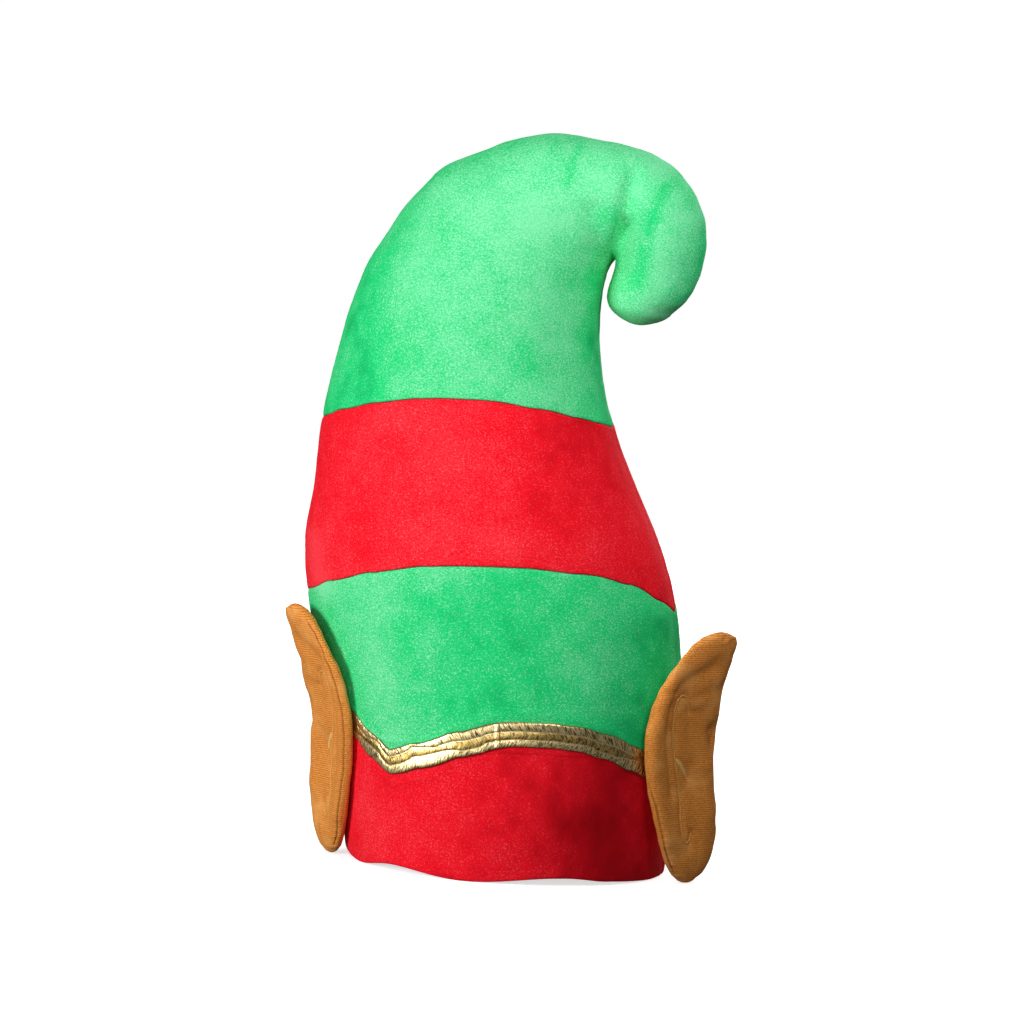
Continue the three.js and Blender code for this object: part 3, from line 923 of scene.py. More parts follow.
@dataclass(frozen=True)
class KnitFinish:
    """Brushed polyester jersey: matt and warm, with fine courses across the ear and darker sewn seams."""

    name: str = "brushed_tan_jersey"
    deep: str = "#BC6822"
    body: str = "#F2A450"
    lit: str = "#F4B064"
    sewn: str = "#96591F"
    course: float = 1.25 * MM
    loop: float = 1.0 * MM
    fuzz: float = 0.8 * MM
    worn: float = 16 * MM

    def material(self) -> bpy.types.Material:
        """Makes the material on the ear's own coordinates. Real courses, 0.8 mm apart, are drawn coarser.

        Returns:
            The material.
        """
        material, tree = blank_material(self.name)
        cloth = add_node(tree, "ShaderNodeUVMap", {"uv_map": "Cloth"}, {}).outputs["UV"]
        place = add_node(tree, "ShaderNodeTexCoord", {}, {}).outputs["Object"]
        seam = add_node(tree, "ShaderNodeAttribute", {"attribute_name": "seam"}, {}).outputs["Fac"]
        axes = add_node(tree, "ShaderNodeSeparateXYZ", {}, {"Vector": cloth})
        zigzag = add_node(
            tree, "ShaderNodeMath", {"operation": "PINGPONG"}, {0: axes.outputs["X"], 1: self.loop / 2}
        ).outputs[0]
        rise = add_node(tree, "ShaderNodeMath", {"operation": "MULTIPLY"}, {0: zigzag, 1: 0.5}).outputs[0]
        risen = add_node(
            tree, "ShaderNodeMath", {"operation": "ADD"}, {0: axes.outputs["Y"], 1: rise}
        ).outputs[0]
        turn = 2 * math.pi / self.course
        phase = add_node(tree, "ShaderNodeMath", {"operation": "MULTIPLY"}, {0: risen, 1: turn}).outputs[0]
        loops = add_node(tree, "ShaderNodeMath", {"operation": "SINE"}, {0: phase}).outputs[0]
        fuzz = add_node(
            tree, "ShaderNodeTexNoise", {}, {"Vector": place, "Scale": 1 / self.fuzz, "Detail": 2.0}
        ).outputs["Fac"]
        patches = add_node(
            tree, "ShaderNodeTexNoise", {}, {"Vector": place, "Scale": 1 / self.worn, "Detail": 2.0}
        ).outputs["Fac"]
        hair = add_node(
            tree, "ShaderNodeMapRange", {}, {"Value": fuzz, "From Min": 0.2, "From Max": 0.8}
        ).outputs[0]
        softened = add_node(tree, "ShaderNodeMath", {"operation": "MULTIPLY"}, {0: loops, 1: 0.36}).outputs[0]
        lift = add_node(
            tree, "ShaderNodeMath", {"operation": "ADD", "use_clamp": True}, {0: softened, 1: hair}
        ).outputs[0]
        yarn = add_node(
            tree,
            "ShaderNodeMix",
            {"data_type": "RGBA"},
            {0: lift, 6: linear(self.deep), 7: linear(self.body)},
        ).outputs[2]
        brushed = add_node(
            tree, "ShaderNodeMapRange", {}, {"Value": patches, "From Min": 0.5, "From Max": 0.9}
        ).outputs["Result"]
        jersey = add_node(
            tree, "ShaderNodeMix", {"data_type": "RGBA"}, {0: brushed, 6: yarn, 7: linear(self.lit)}
        ).outputs[2]
        colour = add_node(
            tree, "ShaderNodeMix", {"data_type": "RGBA"}, {0: seam, 6: jersey, 7: linear(self.sewn)}
        ).outputs[2]
        height = add_node(tree, "ShaderNodeMath", {"operation": "ADD"}, {0: softened, 1: fuzz}).outputs[0]
        relief = add_node(
            tree, "ShaderNodeBump", {}, {"Strength": 0.5, "Distance": 0.25 * MM, "Height": height}
        ).outputs["Normal"]
        knit = add_node(
            tree,
            "ShaderNodeBsdfPrincipled",
            {},
            {
                "Base Color": colour,
                "Roughness": 0.92,
                "IOR": 1.5,
                "Specular IOR Level": 0.12,
                "Sheen Weight": 0.08,
                "Sheen Roughness": 0.5,
                "Sheen Tint": linear(self.lit),
                "Normal": relief,
            },
        ).outputs["BSDF"]
        add_node(tree, "ShaderNodeOutputMaterial", {}, {"Surface": knit})
        return material


@dataclass(frozen=True)
class ThreadFinish:
    """Rayon embroidery thread laid side by side across the line: a soft gloss, dark between the threads."""

    name: str = "tan_embroidery_thread"
    body: str = "#F4B460"
    between: str = "#BE7C34"
    thread: float = 0.8 * MM

    def material(self) -> bpy.types.Material:
        """Makes the material, in metres along the line. Real thread, 0.4 mm thick, is drawn coarser.

        Returns:
            The material.
        """
        material, tree = blank_material(self.name)
        line = add_node(tree, "ShaderNodeUVMap", {"uv_map": "Cloth"}, {}).outputs["UV"]
        along = add_node(tree, "ShaderNodeSeparateXYZ", {}, {"Vector": line}).outputs["X"]
        turn = 2 * math.pi / self.thread
        phase = add_node(tree, "ShaderNodeMath", {"operation": "MULTIPLY"}, {0: along, 1: turn}).outputs[0]
        threads = add_node(tree, "ShaderNodeMath", {"operation": "SINE"}, {0: phase}).outputs[0]
        top = add_node(
            tree, "ShaderNodeMapRange", {}, {"Value": threads, "From Min": -1.0, "From Max": 0.4}
        ).outputs["Result"]
        colour = add_node(
            tree,
            "ShaderNodeMix",
            {"data_type": "RGBA"},
            {0: top, 6: linear(self.between), 7: linear(self.body)},
        ).outputs[2]
        relief = add_node(
            tree, "ShaderNodeBump", {}, {"Strength": 0.5, "Distance": 0.15 * MM, "Height": threads}
        ).outputs["Normal"]
        rayon = add_node(
            tree,
            "ShaderNodeBsdfPrincipled",
            {},
            {
                "Base Color": colour,
                "Roughness": 0.6,
                "IOR": 1.5,
                "Specular IOR Level": 0.15,
                "Normal": relief,
            },
        ).outputs["BSDF"]
        add_node(tree, "ShaderNodeOutputMaterial", {}, {"Surface": rayon})
        return material


@dataclass(frozen=True)
class VelourRelief:
    """How sewn velour lies: turned in at its seams, puckered beside them and slightly uneven between."""

    roll_width: float = 2.2 * MM
    roll_depth: float = 0.7 * MM
    dent_size: float = 42 * MM
    dent_depth: float = 0.9 * MM
    ripple_size: float = 15 * MM
    ripple_depth: float = 0.3 * MM
    pucker_size: float = 7 * MM
    pucker_depth: float = 0.3 * MM
    pucker_reach: float = 9 * MM
    tuft_size: float = 2.6 * MM
    tuft_depth: float = 0.12 * MM
    side_seam_width: float = 1.3 * MM
    side_seam_depth: float = 0.8 * MM
    ribbon_reach: float = 8 * MM
    ribbon_press: float = 0.15 * MM
    ribbon_swell: float = 0.5 * MM
    noise: ClothNoise = ClothNoise(11)

    def height(
        self,
        points: np.ndarray,
        angle: np.ndarray,
        low: np.ndarray,
        high: np.ndarray,
        ribbon: np.ndarray | None,
    ) -> np.ndarray:
        """How far the cloth stands out from the hat's form.

        Args:
            points: Points of the form.
            angle: Their angles round the hat.
            low: Their distances from the lower seam.
            high: Their distances from the upper seam.
            ribbon: Their distances from the ribbon's middle line, where the cloth meets it.

        Returns:
            A distance for each point, outwards.
        """
        inwards = 1 - np.clip(np.minimum(low, high) / self.roll_width, 0, 1)
        out = -self.roll_depth * (1 - np.sqrt(1 - inwards**2))
        free = smoothstep(np.minimum(low, high), 0, 14 * MM)
        out = out + free * self.dent_depth * self.noise.at(points, self.dent_size)
        out += free * self.ripple_depth * self.noise.at(points + self.dent_size, self.ripple_size)
        seam = np.minimum(low, high)
        near = np.exp(-seam / self.pucker_reach) * smoothstep(seam, 0, 3 * MM)
        out += near * self.pucker_depth * self.noise.at(points, self.pucker_size)
        out += self.tuft_depth * self.noise.at(points, self.tuft_size)
        half_width = np.ptp(points[..., 0], axis=1)[:, None] / 2
        from_side = np.radians(np.abs(np.mod(angle + 180, 360) - 180) - 90) * half_width
        out -= self.side_seam_depth * np.exp(-((from_side / self.side_seam_width) ** 2))
        if ribbon is not None:
            out -= self.ribbon_press * (1 - smoothstep(ribbon, self.ribbon_reach - 1 * MM, self.ribbon_reach))
            out += self.ribbon_swell * np.exp(-(((ribbon - self.ribbon_reach - 2 * MM) / (2 * MM)) ** 2))
        return out


RELIEF = VelourRelief()


def edge_rows(length: float, first: float, widest: float, growth: float = 1.35) -> np.ndarray:
    """Shares of a length at which its rows lie, closer together near both ends.

    Args:
        length: The length.
        first: The first step from either end.
        widest: The widest step.
        growth: How much wider each step is than the one before it.

    Returns:
        The shares, from 0 to 1.
    """
    steps = [first]
    while 2 * sum(steps) < length:
        steps.append(min(widest, steps[-1] * growth))
    half = np.concatenate([[0], np.cumsum(steps)]) / (2 * sum(steps))
    return np.concatenate([half, 1 - half[-2::-1]])


@dataclass
class ClothBand:
    """A band of velour round the hat."""

    name: str
    bottom: Heights
    top: Heights
    finish: VelourFinish
    slot: Slot
    pale: float
    ribbon_edge: str | None = None
    columns: int = 600
    first_row: float = 0.3 * MM
    widest_row: float = 1.15 * MM
    inner_rows: int = 6

    def build(self) -> bpy.types.Object:
        """Builds the band as one closed wall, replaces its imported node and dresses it.

        Returns:
            The band.
        """
        angle = np.arange(self.columns) * 360 / self.columns
        low, high = self.bottom(angle), self.top(angle)
        station_low, station_high = FORM.station_at(angle, low), FORM.station_at(angle, high)
        share = edge_rows(float(np.mean(high - low)), self.first_row, self.widest_row)[:, None]
        outside = hat_point(angle, station_low + (station_high - station_low) * share)
        below, over = (high - low) * share, (high - low) * (1 - share)
        ribbon = {"top": over, "bottom": below, None: None}[self.ribbon_edge]
        raised = RELIEF.height(outside, angle, below, over, ribbon)
        outside = outside + normals_of(outside) * raised[..., None]
        inner_share = np.linspace(1, 0, self.inner_rows)[:, None]
        inside = hat_point(angle, station_low + (station_high - station_low) * inner_share, FORM.cloth_wall)
        wall = np.concatenate([outside, inside])
        wall[..., 2] = np.maximum(wall[..., 2], 0)
        # The attribute carries painted highlights and painted shade with the nap.
        nap_and_painted_shading = {"nap_and_painted_shading": FORM.nap_and_painted_shading(BAND_NAP_AND_PAINTED_SHADING, wall, self.pale)}
        faces = grid_faces(len(wall), self.columns, True).tolist()
        piece = make_object(f"velour_{self.name}", wall, faces, None, nap_and_painted_shading)
        dress(piece, self.finish)
        declare(piece, self.name)
        return piece


@dataclass
class CurledPeak:
    """The green peak, from its seam over the bend to the rounded end of its curl."""

    finish: VelourFinish
    pale: float
    columns: int = 420
    rows: int = 176
    tip_rows: int = 12
    inner_rows: int = 26

    def stations(self, low: np.ndarray, count: int, first: float) -> np.ndarray:
        """Stations of the rows between the seam and the end, spread by the cloth's length between them.

        Args:
            low: The seam's station at each column.
            count: How many rows.
            first: The first row's share of the way.

        Returns:
            Stations by row and column.
        """
        fine = np.linspace(float(low.mean()), FORM.last_section, 600)
        lines = hat_point(np.array([-90.0, 0, 90])[:, None], fine)
        path = np.linalg.norm(np.diff(lines, axis=1), axis=-1).mean(0)
        walked = np.concatenate([[0], np.cumsum(path)]) / path.sum()
        spread = np.interp(np.linspace(0, 1, count), walked, np.linspace(0, 1, 600))
        if first:
            close = edge_rows(float(path.sum()), first, float(path.sum()) / count)
            close = close[close < 0.04]
            nearer = np.interp(close, walked, np.linspace(0, 1, 600))
            spread = np.unique(np.concatenate([nearer, spread[spread > 0.035]]))
        return low + (FORM.last_section - low) * spread[:, None]

    def build(self) -> bpy.types.Object:
        """Builds the peak as one closed wall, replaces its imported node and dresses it.

        Returns:
            The peak.
        """
        angle = np.arange(self.columns) * 360 / self.columns
        seam = FORM.upper_seam(angle) + FORM.sewn_gap / 2
        low = FORM.station_at(angle, seam)
        ends = np.sin(np.linspace(0, math.pi / 2, self.tip_rows + 1)[1:-1])[:, None] + FORM.last_section
        ends = ends + np.zeros(self.columns)
        outer_stations = np.concatenate([self.stations(low, self.rows, 0.3 * MM), ends])
        inner_stations = np.concatenate([self.stations(low, self.inner_rows, 0), ends[::3]])
        outside = hat_point(angle, outer_stations)
        step = np.linalg.norm(np.diff(outside, axis=0), axis=-1)
        from_seam = np.concatenate([np.zeros((1, self.columns)), np.cumsum(step, axis=0)])
        far = np.full(from_seam.shape, 1.0)
        raised = RELIEF.height(outside, angle, from_seam, far, None)
        calm = smoothstep(FORM.last_section + 1 - outer_stations, 0.0, 0.6)
        outside = outside + normals_of(outside) * (raised * calm)[..., None]
        inside = hat_point(angle, inner_stations, FORM.cloth_wall)[::-1]
        wall = np.concatenate([inside, outside])
        lining_end = hat_point(np.zeros(1), np.full(1, FORM.last_section + 1.0), FORM.cloth_wall)[0]
        tips = np.stack([lining_end, outside[-1].mean(0)])
        rows, count = len(wall), self.columns
        faces = grid_faces(rows, count, False).tolist()
        ring = np.arange(count)
        beside = (ring + 1) % count
        start = rows * count
        faces += np.stack([np.full(count, start), beside, ring], -1).tolist()
        last = start - count
        faces += np.stack([np.full(count, start + 1), last + ring, last + beside], -1).tolist()
        points = np.concatenate([wall.reshape(-1, 3), tips])
        # The attribute carries painted highlights and painted shade with the nap.
        nap_and_painted_shading = {"nap_and_painted_shading": FORM.nap_and_painted_shading(PEAK_NAP_AND_PAINTED_SHADING, points, self.pale)}
        piece = make_object("velour_green_peak", points, faces, None, nap_and_painted_shading)
        dress(piece, self.finish)
        declare(piece, "green_peak")
        return piece


@dataclass
class FoilRibbon:
    """The gold ribbon over the lowest seam, laid in points, its end lapped over its start."""

    finish: FoilRibbonFinish
    width: float = 14 * MM
    thickness: float = 0.8 * MM
    joint: float = 2.0
    lap: float = 6.0
    ramp: float = 16.0
    facet: float = 3.0
    steps: int = 1300
    lanes: int = 30
    lane_groove: float = 0.08 * MM
    lane_crown: float = 0.2 * MM
    fold: float = 0.7 * MM
    fold_width: float = 3.5 * MM
    crinkle_size: float = 1.5 * MM
    crinkle_depth: float = 0.05 * MM

    def half_height(self, angle: np.ndarray) -> np.ndarray:
        """Half of the ribbon's height on the hat, which is more than half its width where it slants.

        Args:
            angle: Angles round the hat, in degrees.

        Returns:
            One height for each angle.
        """
        ends = [self.middle(angle + side * self.facet) for side in (1, -1)]
        run = ends[0] - ends[1]
        return self.width / 2 * np.linalg.norm(run, axis=-1) / np.hypot(run[..., 0], run[..., 1])

    def middle(self, angle: np.ndarray) -> np.ndarray:
        """Points of the ribbon's middle line on the hat's form."""
        return hat_point(angle, FORM.station_at(angle, FORM.ribbon_line(angle)))

    def lift(self, angle: np.ndarray) -> np.ndarray:
        """How far the ribbon's back stands off the velour, more where its end lies on its start.

        Args:
            angle: Angles along the ribbon, in degrees.

        Returns:
            One distance for each angle.
        """
        end = self.joint + 360
        over = smoothstep(angle, end - self.facet - self.ramp, end - self.facet)
        return FORM.sewn_gap + over * (self.thickness + FORM.sewn_gap)

    def relief(self, along: np.ndarray, across: np.ndarray) -> np.ndarray:
        """Height of the ribbon's face over its flat thickness.

        It has three crowned lanes, crinkled, with stitched grooves.

        Args:
            along: Places along the ribbon.
            across: Places across it, from -1 to 1.

        Returns:
            One height for each place.
        """
        lane = np.mod((across + 1) * 1.5, 1)
        crown = self.lane_crown * (1 - (2 * lane - 1) ** 2)
        groove = self.lane_groove * np.exp(-(((np.abs(across) - 1 / 3) * self.width / 2 / (0.5 * MM)) ** 2))
        herring = np.abs(np.mod(along / self.crinkle_size + 1.2 * np.abs(across), 1) - 0.5)
        points = np.stack(np.broadcast_arrays(along, across * self.width / 2, 0 * along), -1)
        creases = RELIEF.noise.at(points * (1.0, 0.5, 1.0), self.crinkle_size)
        middle = smoothstep(1 / 3 - np.abs(across), 0, 0.1)
        rounded = 0.35 * MM * smoothstep(np.abs(across), 0.9, 1.0)
        return crown - groove + self.crinkle_depth * (2 * middle * herring + creases) - rounded

    def build(self) -> bpy.types.Object:
        """Builds the ribbon as one closed strip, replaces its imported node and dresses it.

        Returns:
            The ribbon.
        """
        angle = np.linspace(self.joint, self.joint + 360 + self.lap, self.steps)
        half, under = self.half_height(angle), self.lift(angle)
        run = np.linalg.norm(np.diff(self.middle(angle), axis=0), axis=-1)
        along = np.concatenate([[0], np.cumsum(run)])[:, None]
        face = np.linspace(1, -1, self.lanes)
        back = np.linspace(-1, 1, 7)
        across = np.concatenate([back, face])[None, :]
        line = FORM.ribbon_line(angle)
        low, high = FORM.station_at(angle, line - half), FORM.station_at(angle, line + half)
        station = low[:, None] + (high - low)[:, None] * (across + 1) / 2
        top = under[:, None] + self.thickness + self.relief(along, face[None, :])
        top += self.fold * smoothstep(along, along[-1] - self.fold_width, along[-1] - 1 * MM)
        out = np.concatenate([np.repeat(under[:, None], len(back), 1), top], axis=1)
        strip = hat_point(angle[:, None], station, -out)
        count = strip.shape[1]
        faces = grid_faces(self.steps, count, False).tolist()
        faces.append(list(range(count))[::-1])
        faces.append([(self.steps - 1) * count + k for k in range(count)])
        uv = np.stack(np.broadcast_arrays(along, across), -1)
        piece = make_object("gold_foil_ribbon", strip, faces, uv)
        dress(piece, self.finish)
        declare(piece, "gold_trim")
        return piece


@dataclass
class StuffedEar:
    """An ear of jersey over loose stuffing, sewn flat against the side of the hat."""

    name: str
    side: int
    angle: float
    flare: float
    lean: float
    seam_low: float
    seam_high: float
    finish: KnitFinish
    height: float = 65 * MM
    length: float = 146 * MM
    width: float = 57.5 * MM
    thickness: float = 13.5 * MM
    hollow: float = 3.2 * MM
    hollow_power: float = 4.0
    sink: float = 2.2 * MM
    foot: float = 0.5 * MM
    columns: int = 54
    rows: int = 58
    slack: float = 0.7 * MM
    swell: float = 1.6 * MM
    pressure: float = 70.0
    seam_depth: float = 0.8 * MM
    seam_half: float = 0.55 * MM
    gather: float = 3.6 * MM
    gather_depth: float = 0.35 * MM
    stuffing_mass: float = 0.02
    cloth_steps: int = 20
    roll_height: float = 1.8 * MM
    roll_reach: float = 5.5 * MM
    valley_depth: float = 1.5 * MM
    valley_reach: float = 2.8 * MM
    line_depth: float = 1.1 * MM
    line_reach: float = 2.4 * MM
    pucker_size: float = 16 * MM
    pucker_depth: float = 0.25 * MM

    def __post_init__(self) -> None:
        """Works out the ear's directions: across to its rear edge, up to its tip, and out from the hat."""
        ahead, behind = (self.on_hat(self.side * (self.angle + turn)) for turn in (1, -1))
        run = ahead - behind
        across = Vector((run[0], run[1], 0)).normalized()
        upright = Vector((0, 0, 1))
        across.rotate(Quaternion(upright, -self.side * math.radians(self.flare)))
        up = upright.copy()
        up.rotate(Quaternion(across, self.side * math.radians(self.lean)))
        out = across.cross(up) * self.side
        self.across, self.up, self.out = (np.array(axis) for axis in (across, up, out))
        base = self.on_hat(self.side * self.angle) + self.out * (self.thickness / 2 - self.sink)
        self.base = base - self.up * self.height
        turns = np.arange(22) * 2 * math.pi / 22
        lowest = self.shell(EAR_SECTIONS.knots[:, None], turns)[..., 2].min()
        self.base = self.base + np.array([0, 0, self.foot - lowest])

    def on_hat(self, angle: float) -> np.ndarray:
        """The point of the hat's form at an angle, at the height where the ear is sewn on."""
        at = np.array([float(angle)])
        return hat_point(at, FORM.station_at(at, self.height))[0]

    def shell(self, along: np.ndarray, turn: np.ndarray) -> np.ndarray:
        """Points of the ear's cover.

        Args:
            along: Shares of the ear's length.
            turn: Turns round a section, in radians, from its rear edge.

        Returns:
            The points, along the last axis.
        """
        front, rear = (EAR_SECTIONS.at(edge, along) * self.width for edge in ("front", "rear"))
        facing = -self.side * np.sin(turn)
        dent = self.hollow * EAR_SECTIONS.at("hollow", along) * np.maximum(0, facing) ** self.hollow_power
        across = (front + rear) / 2 + (rear - front) / 2 * np.cos(turn)
        out = EAR_SECTIONS.at("bow", along) * self.width - dent
        out = out + EAR_SECTIONS.at("thick", along) * self.thickness * facing / 2
        up = along * self.length + 0 * turn
        flat = self.base + across[..., None] * self.across + up[..., None] * self.up
        return flat + out[..., None] * self.out

    def clear_of_hat(self, points: np.ndarray) -> np.ndarray:
        """Presses the cover flat where it would run into the hat or its ribbon.

        Args:
            points: The cover's points.

        Returns:
            The points, clear of the hat.
        """
        x, y, z = np.moveaxis(points - OFFSET, -1, 0)
        stations = np.linspace(0, 6, 400)
        centre_x, centre_z, _, _, half_width, half_depth = FORM.section_at(stations, 0)
        station = np.interp(z, centre_z, stations)
        angle = np.degrees(np.arctan2(x - np.interp(z, centre_z, centre_x), -y))
        off = np.abs(z - FORM.ribbon_line(angle))
        ribbon = RIBBON.thickness + 2 * FORM.sewn_gap
        half = RIBBON.width / 2
        clear = FORM.sewn_gap + 0.5 * MM + ribbon * (1 - smoothstep(off, half, half + 3 * MM))
        wide = np.interp(station, stations, half_width) + clear
        deep = np.interp(station, stations, half_depth) + clear
        x = x - np.interp(z, centre_z, centre_x)
        a = (self.out[0] / wide) ** 2 + (self.out[1] / deep) ** 2
        b = x * self.out[0] / wide**2 + y * self.out[1] / deep**2
        c = (x / wide) ** 2 + (y / deep) ** 2 - 1
        push = np.where(c < 0, (-b + np.sqrt(np.maximum(b * b - a * c, 0))) / a, 0)
        return points + push[..., None] * self.out

    def build(self) -> bpy.types.Object:
        """Builds the cover, fills it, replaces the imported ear, and dresses and embroiders it.

        Returns:
            The ear.
        """
        piece = self.cut_cover()
        self.fill_cover(piece)
        select_alone(piece)
        smooth = piece.modifiers.new("Smooth cover", "SUBSURF")
        smooth.levels = smooth.render_levels = 2
        bpy.ops.object.modifier_apply(modifier=smooth.name)
        self.sew_cover(piece)
        dress(piece, self.finish)
        declare(piece, self.name)
        for title, line, wide, thread in (
            ("line", EAR_LINE, 1.2 * MM, ThreadFinish()),
            ("lens", EAR_LENS, 2.7 * MM, ThreadFinish("gold_embroidery_thread", "#FFD084", "#D09448")),
        ):
            SatinStitch(f"embroidered_{title}_{self.name}", self, piece, line, wide, thread).build()
        return piece

    def cut_cover(self) -> bpy.types.Object:
        """Makes the coarse cover, with its place on the ear kept at each point.

        Returns:
            The cover.
        """
        shares = EAR_SECTIONS.knots
        along = np.interp(np.linspace(0, 1, self.rows), np.linspace(0, 1, len(shares)), shares)
        turn = np.arange(self.columns) * 2 * math.pi / self.columns
        cover = self.shell(along[:, None], turn)
        ends = np.stack([cover[0].mean(0) - self.up * 1.2 * MM, cover[-1].mean(0) + self.up * 0.8 * MM])
        cover = self.clear_of_hat(cover - normals_of(cover) * self.slack)
        faces = grid_faces(self.rows, self.columns, False)
        ring = np.arange(self.columns)
        beside = (ring + 1) % self.columns
        start = self.rows * self.columns
        last = start - self.columns
        foot = np.stack([np.full(self.columns, start), beside, ring], -1)
        tip = np.stack([np.full(self.columns, start + 1), last + ring, last + beside], -1)
        polygons = [face for part in (faces, foot, tip) for face in part.tolist()]
        points = np.concatenate([cover.reshape(-1, 3), ends])
        uv = np.stack([(points - self.base) @ self.across, (points - self.base) @ self.up], -1)
        ways = np.broadcast_arrays(np.cos(turn), -self.side * np.sin(turn), 0 * along[:, None])
        both = np.stack(ways, -1)[..., :2]
        turned = np.concatenate([both.reshape(-1, 2), np.zeros((2, 2))])
        values = {"rearward": turned[:, 0], "outward": turned[:, 1], "seam": 0 * turned[:, 0]}
        return make_object(f"stuffed_{self.name}", points, polygons, uv, values)

    def fill_cover(self, piece: bpy.types.Object) -> None:
        """Lets the stuffing swell the cover, as a cloth under pressure that its seams and the hat hold in.

        Args:
            piece: The coarse cover.
        """
        cut = points_of(piece)
        held = self.sewn_down(piece) | (values_of(piece, "outward") < -0.2)
        group = piece.vertex_groups.new(name="sewn_down")
        group.add(np.flatnonzero(held).tolist(), 1.0, "REPLACE")
        select_alone(piece)
        stuffing = piece.modifiers.new("Stuffing", "CLOTH")
        stuffing.settings.vertex_group_mass = group.name
        stuffing.settings.use_pressure = True
        stuffing.settings.uniform_pressure_force = self.pressure
        stuffing.settings.effector_weights.gravity = 0
        stuffing.settings.mass = self.stuffing_mass
        stuffing.collision_settings.use_collision = False
        for moment in range(1, self.cloth_steps + 1):
            bpy.context.scene.frame_set(moment)
        bpy.ops.object.modifier_apply(modifier=stuffing.name)
        bpy.context.scene.frame_set(1)
        moved = points_of(piece) - cut
        far = np.linalg.norm(moved, axis=-1)
        measures = far.max() / MM, far.mean() / MM
        log.info("%s swelled by up to %.2f mm, %.2f mm on average", piece.name, *measures)
        moved *= (np.minimum(far, self.swell) / np.maximum(far, 1e-9))[:, None]
        place_points(piece, self.clear_of_hat(cut + moved))
        piece.vertex_groups.clear()

    def on_face(self, piece: bpy.types.Object) -> np.ndarray:
        """Places of a cover's points on the ear, across and up it, in metres."""
        points = points_of(piece) - self.base
        return np.stack([points @ self.across, points @ self.up], -1)

    def from_lines(self, place: np.ndarray, *drawn: ShareTable) -> np.ndarray:
        """Distances of places on the ear from the nearest of some drawn lines.

        Args:
            place: Places across and up the ear.
            drawn: The lines.

        Returns:
            One distance for each place.
        """
        size = np.array([self.width, self.length])
        lines = [line.table[:, 1:3] * size for line in drawn]
        pairs = [pair for line in lines for pair in zip(line[:-1], line[1:])]
        return np.min([from_stroke(place, start, end) for start, end in pairs], axis=0)

    def from_seam(self, piece: bpy.types.Object) -> np.ndarray:
        """Distances from the seam that runs down the ear's face close to its front edge.

        Args:
            piece: The cover.

        Returns:
            One distance for each point.
        """
        along = self.on_face(piece)[:, 1] / self.length
        inside = np.clip(along, 0.012, 0.998)
        front, rear = (EAR_SECTIONS.at(edge, inside) * self.width for edge in ("front", "rear"))
        place = self.seam_low + (self.seam_high - self.seam_low) * smoothstep(along, 0.3, 0.55)
        return np.abs(values_of(piece, "rearward") - place) * (rear - front) / 2

    def sewn_down(self, piece: bpy.types.Object) -> np.ndarray:
        """Whether the seam or the embroidery holds each point of a coarse cover.

        Args:
            piece: The coarse cover.

        Returns:
            True for each point that is held.
        """
        face = values_of(piece, "outward") > 0
        stitched = self.from_lines(self.on_face(piece), EAR_LINE, EAR_LENS) < 2 * MM
        return face & (stitched | (self.from_seam(piece) < 1.6 * MM))

    def sew_cover(self, piece: bpy.types.Object) -> None:
        """Draws the seam, the folds and the puckers into the smooth cover.

        Args:
            piece: The smooth cover.
        """
        points, place = points_of(piece), self.on_face(piece)
        normal = np.array([vertex.normal for vertex in piece.data.vertices])
        face = smoothstep(values_of(piece, "outward"), 0.1, 0.45)
        along = place[:, 1] / self.length
        seam = np.exp(-((self.from_seam(piece) / self.seam_half) ** 2)) * face
        seam *= smoothstep(along, 0.03, 0.08) * (1 - smoothstep(along, 0.93, 0.97))
        low = 1 - smoothstep(along, 0.45, 0.75)
        pulled = 0.5 + 0.5 * np.cos(2 * math.pi * place[:, 1] / self.gather)
        beside = np.exp(-((self.from_seam(piece) / (3 * MM)) ** 2)) * face
        stitched = np.exp(-((self.from_lines(place, EAR_LINE, EAR_LENS) / self.line_reach) ** 2)) * face
        out = face * strokes(EAR_FOLDS, place, np.array([self.width, self.length])) * self.thickness
        out += face * self.roll_height * np.exp(-((self.from_lines(place, EAR_ROLL) / self.roll_reach) ** 2))
        valley = self.from_lines(place, EAR_VALLEY)
        out -= face * self.valley_depth * np.exp(-((valley / self.valley_reach) ** 2))
        out += RELIEF.noise.at(points * (1, 1, 1.6), self.pucker_size) * self.pucker_depth
        out -= self.seam_depth * seam + self.line_depth * stitched
        out -= self.gather_depth * low * pulled * beside
        moved = self.clear_of_hat(points + normal * out[:, None])
        moved[:, 2] = np.maximum(moved[:, 2], self.foot / 2)
        place_points(piece, moved)
        shade = (seam * (0.75 + 0.25 * pulled)).astype(np.float32)
        piece.data.attributes["seam"].data.foreach_set("value", shade)


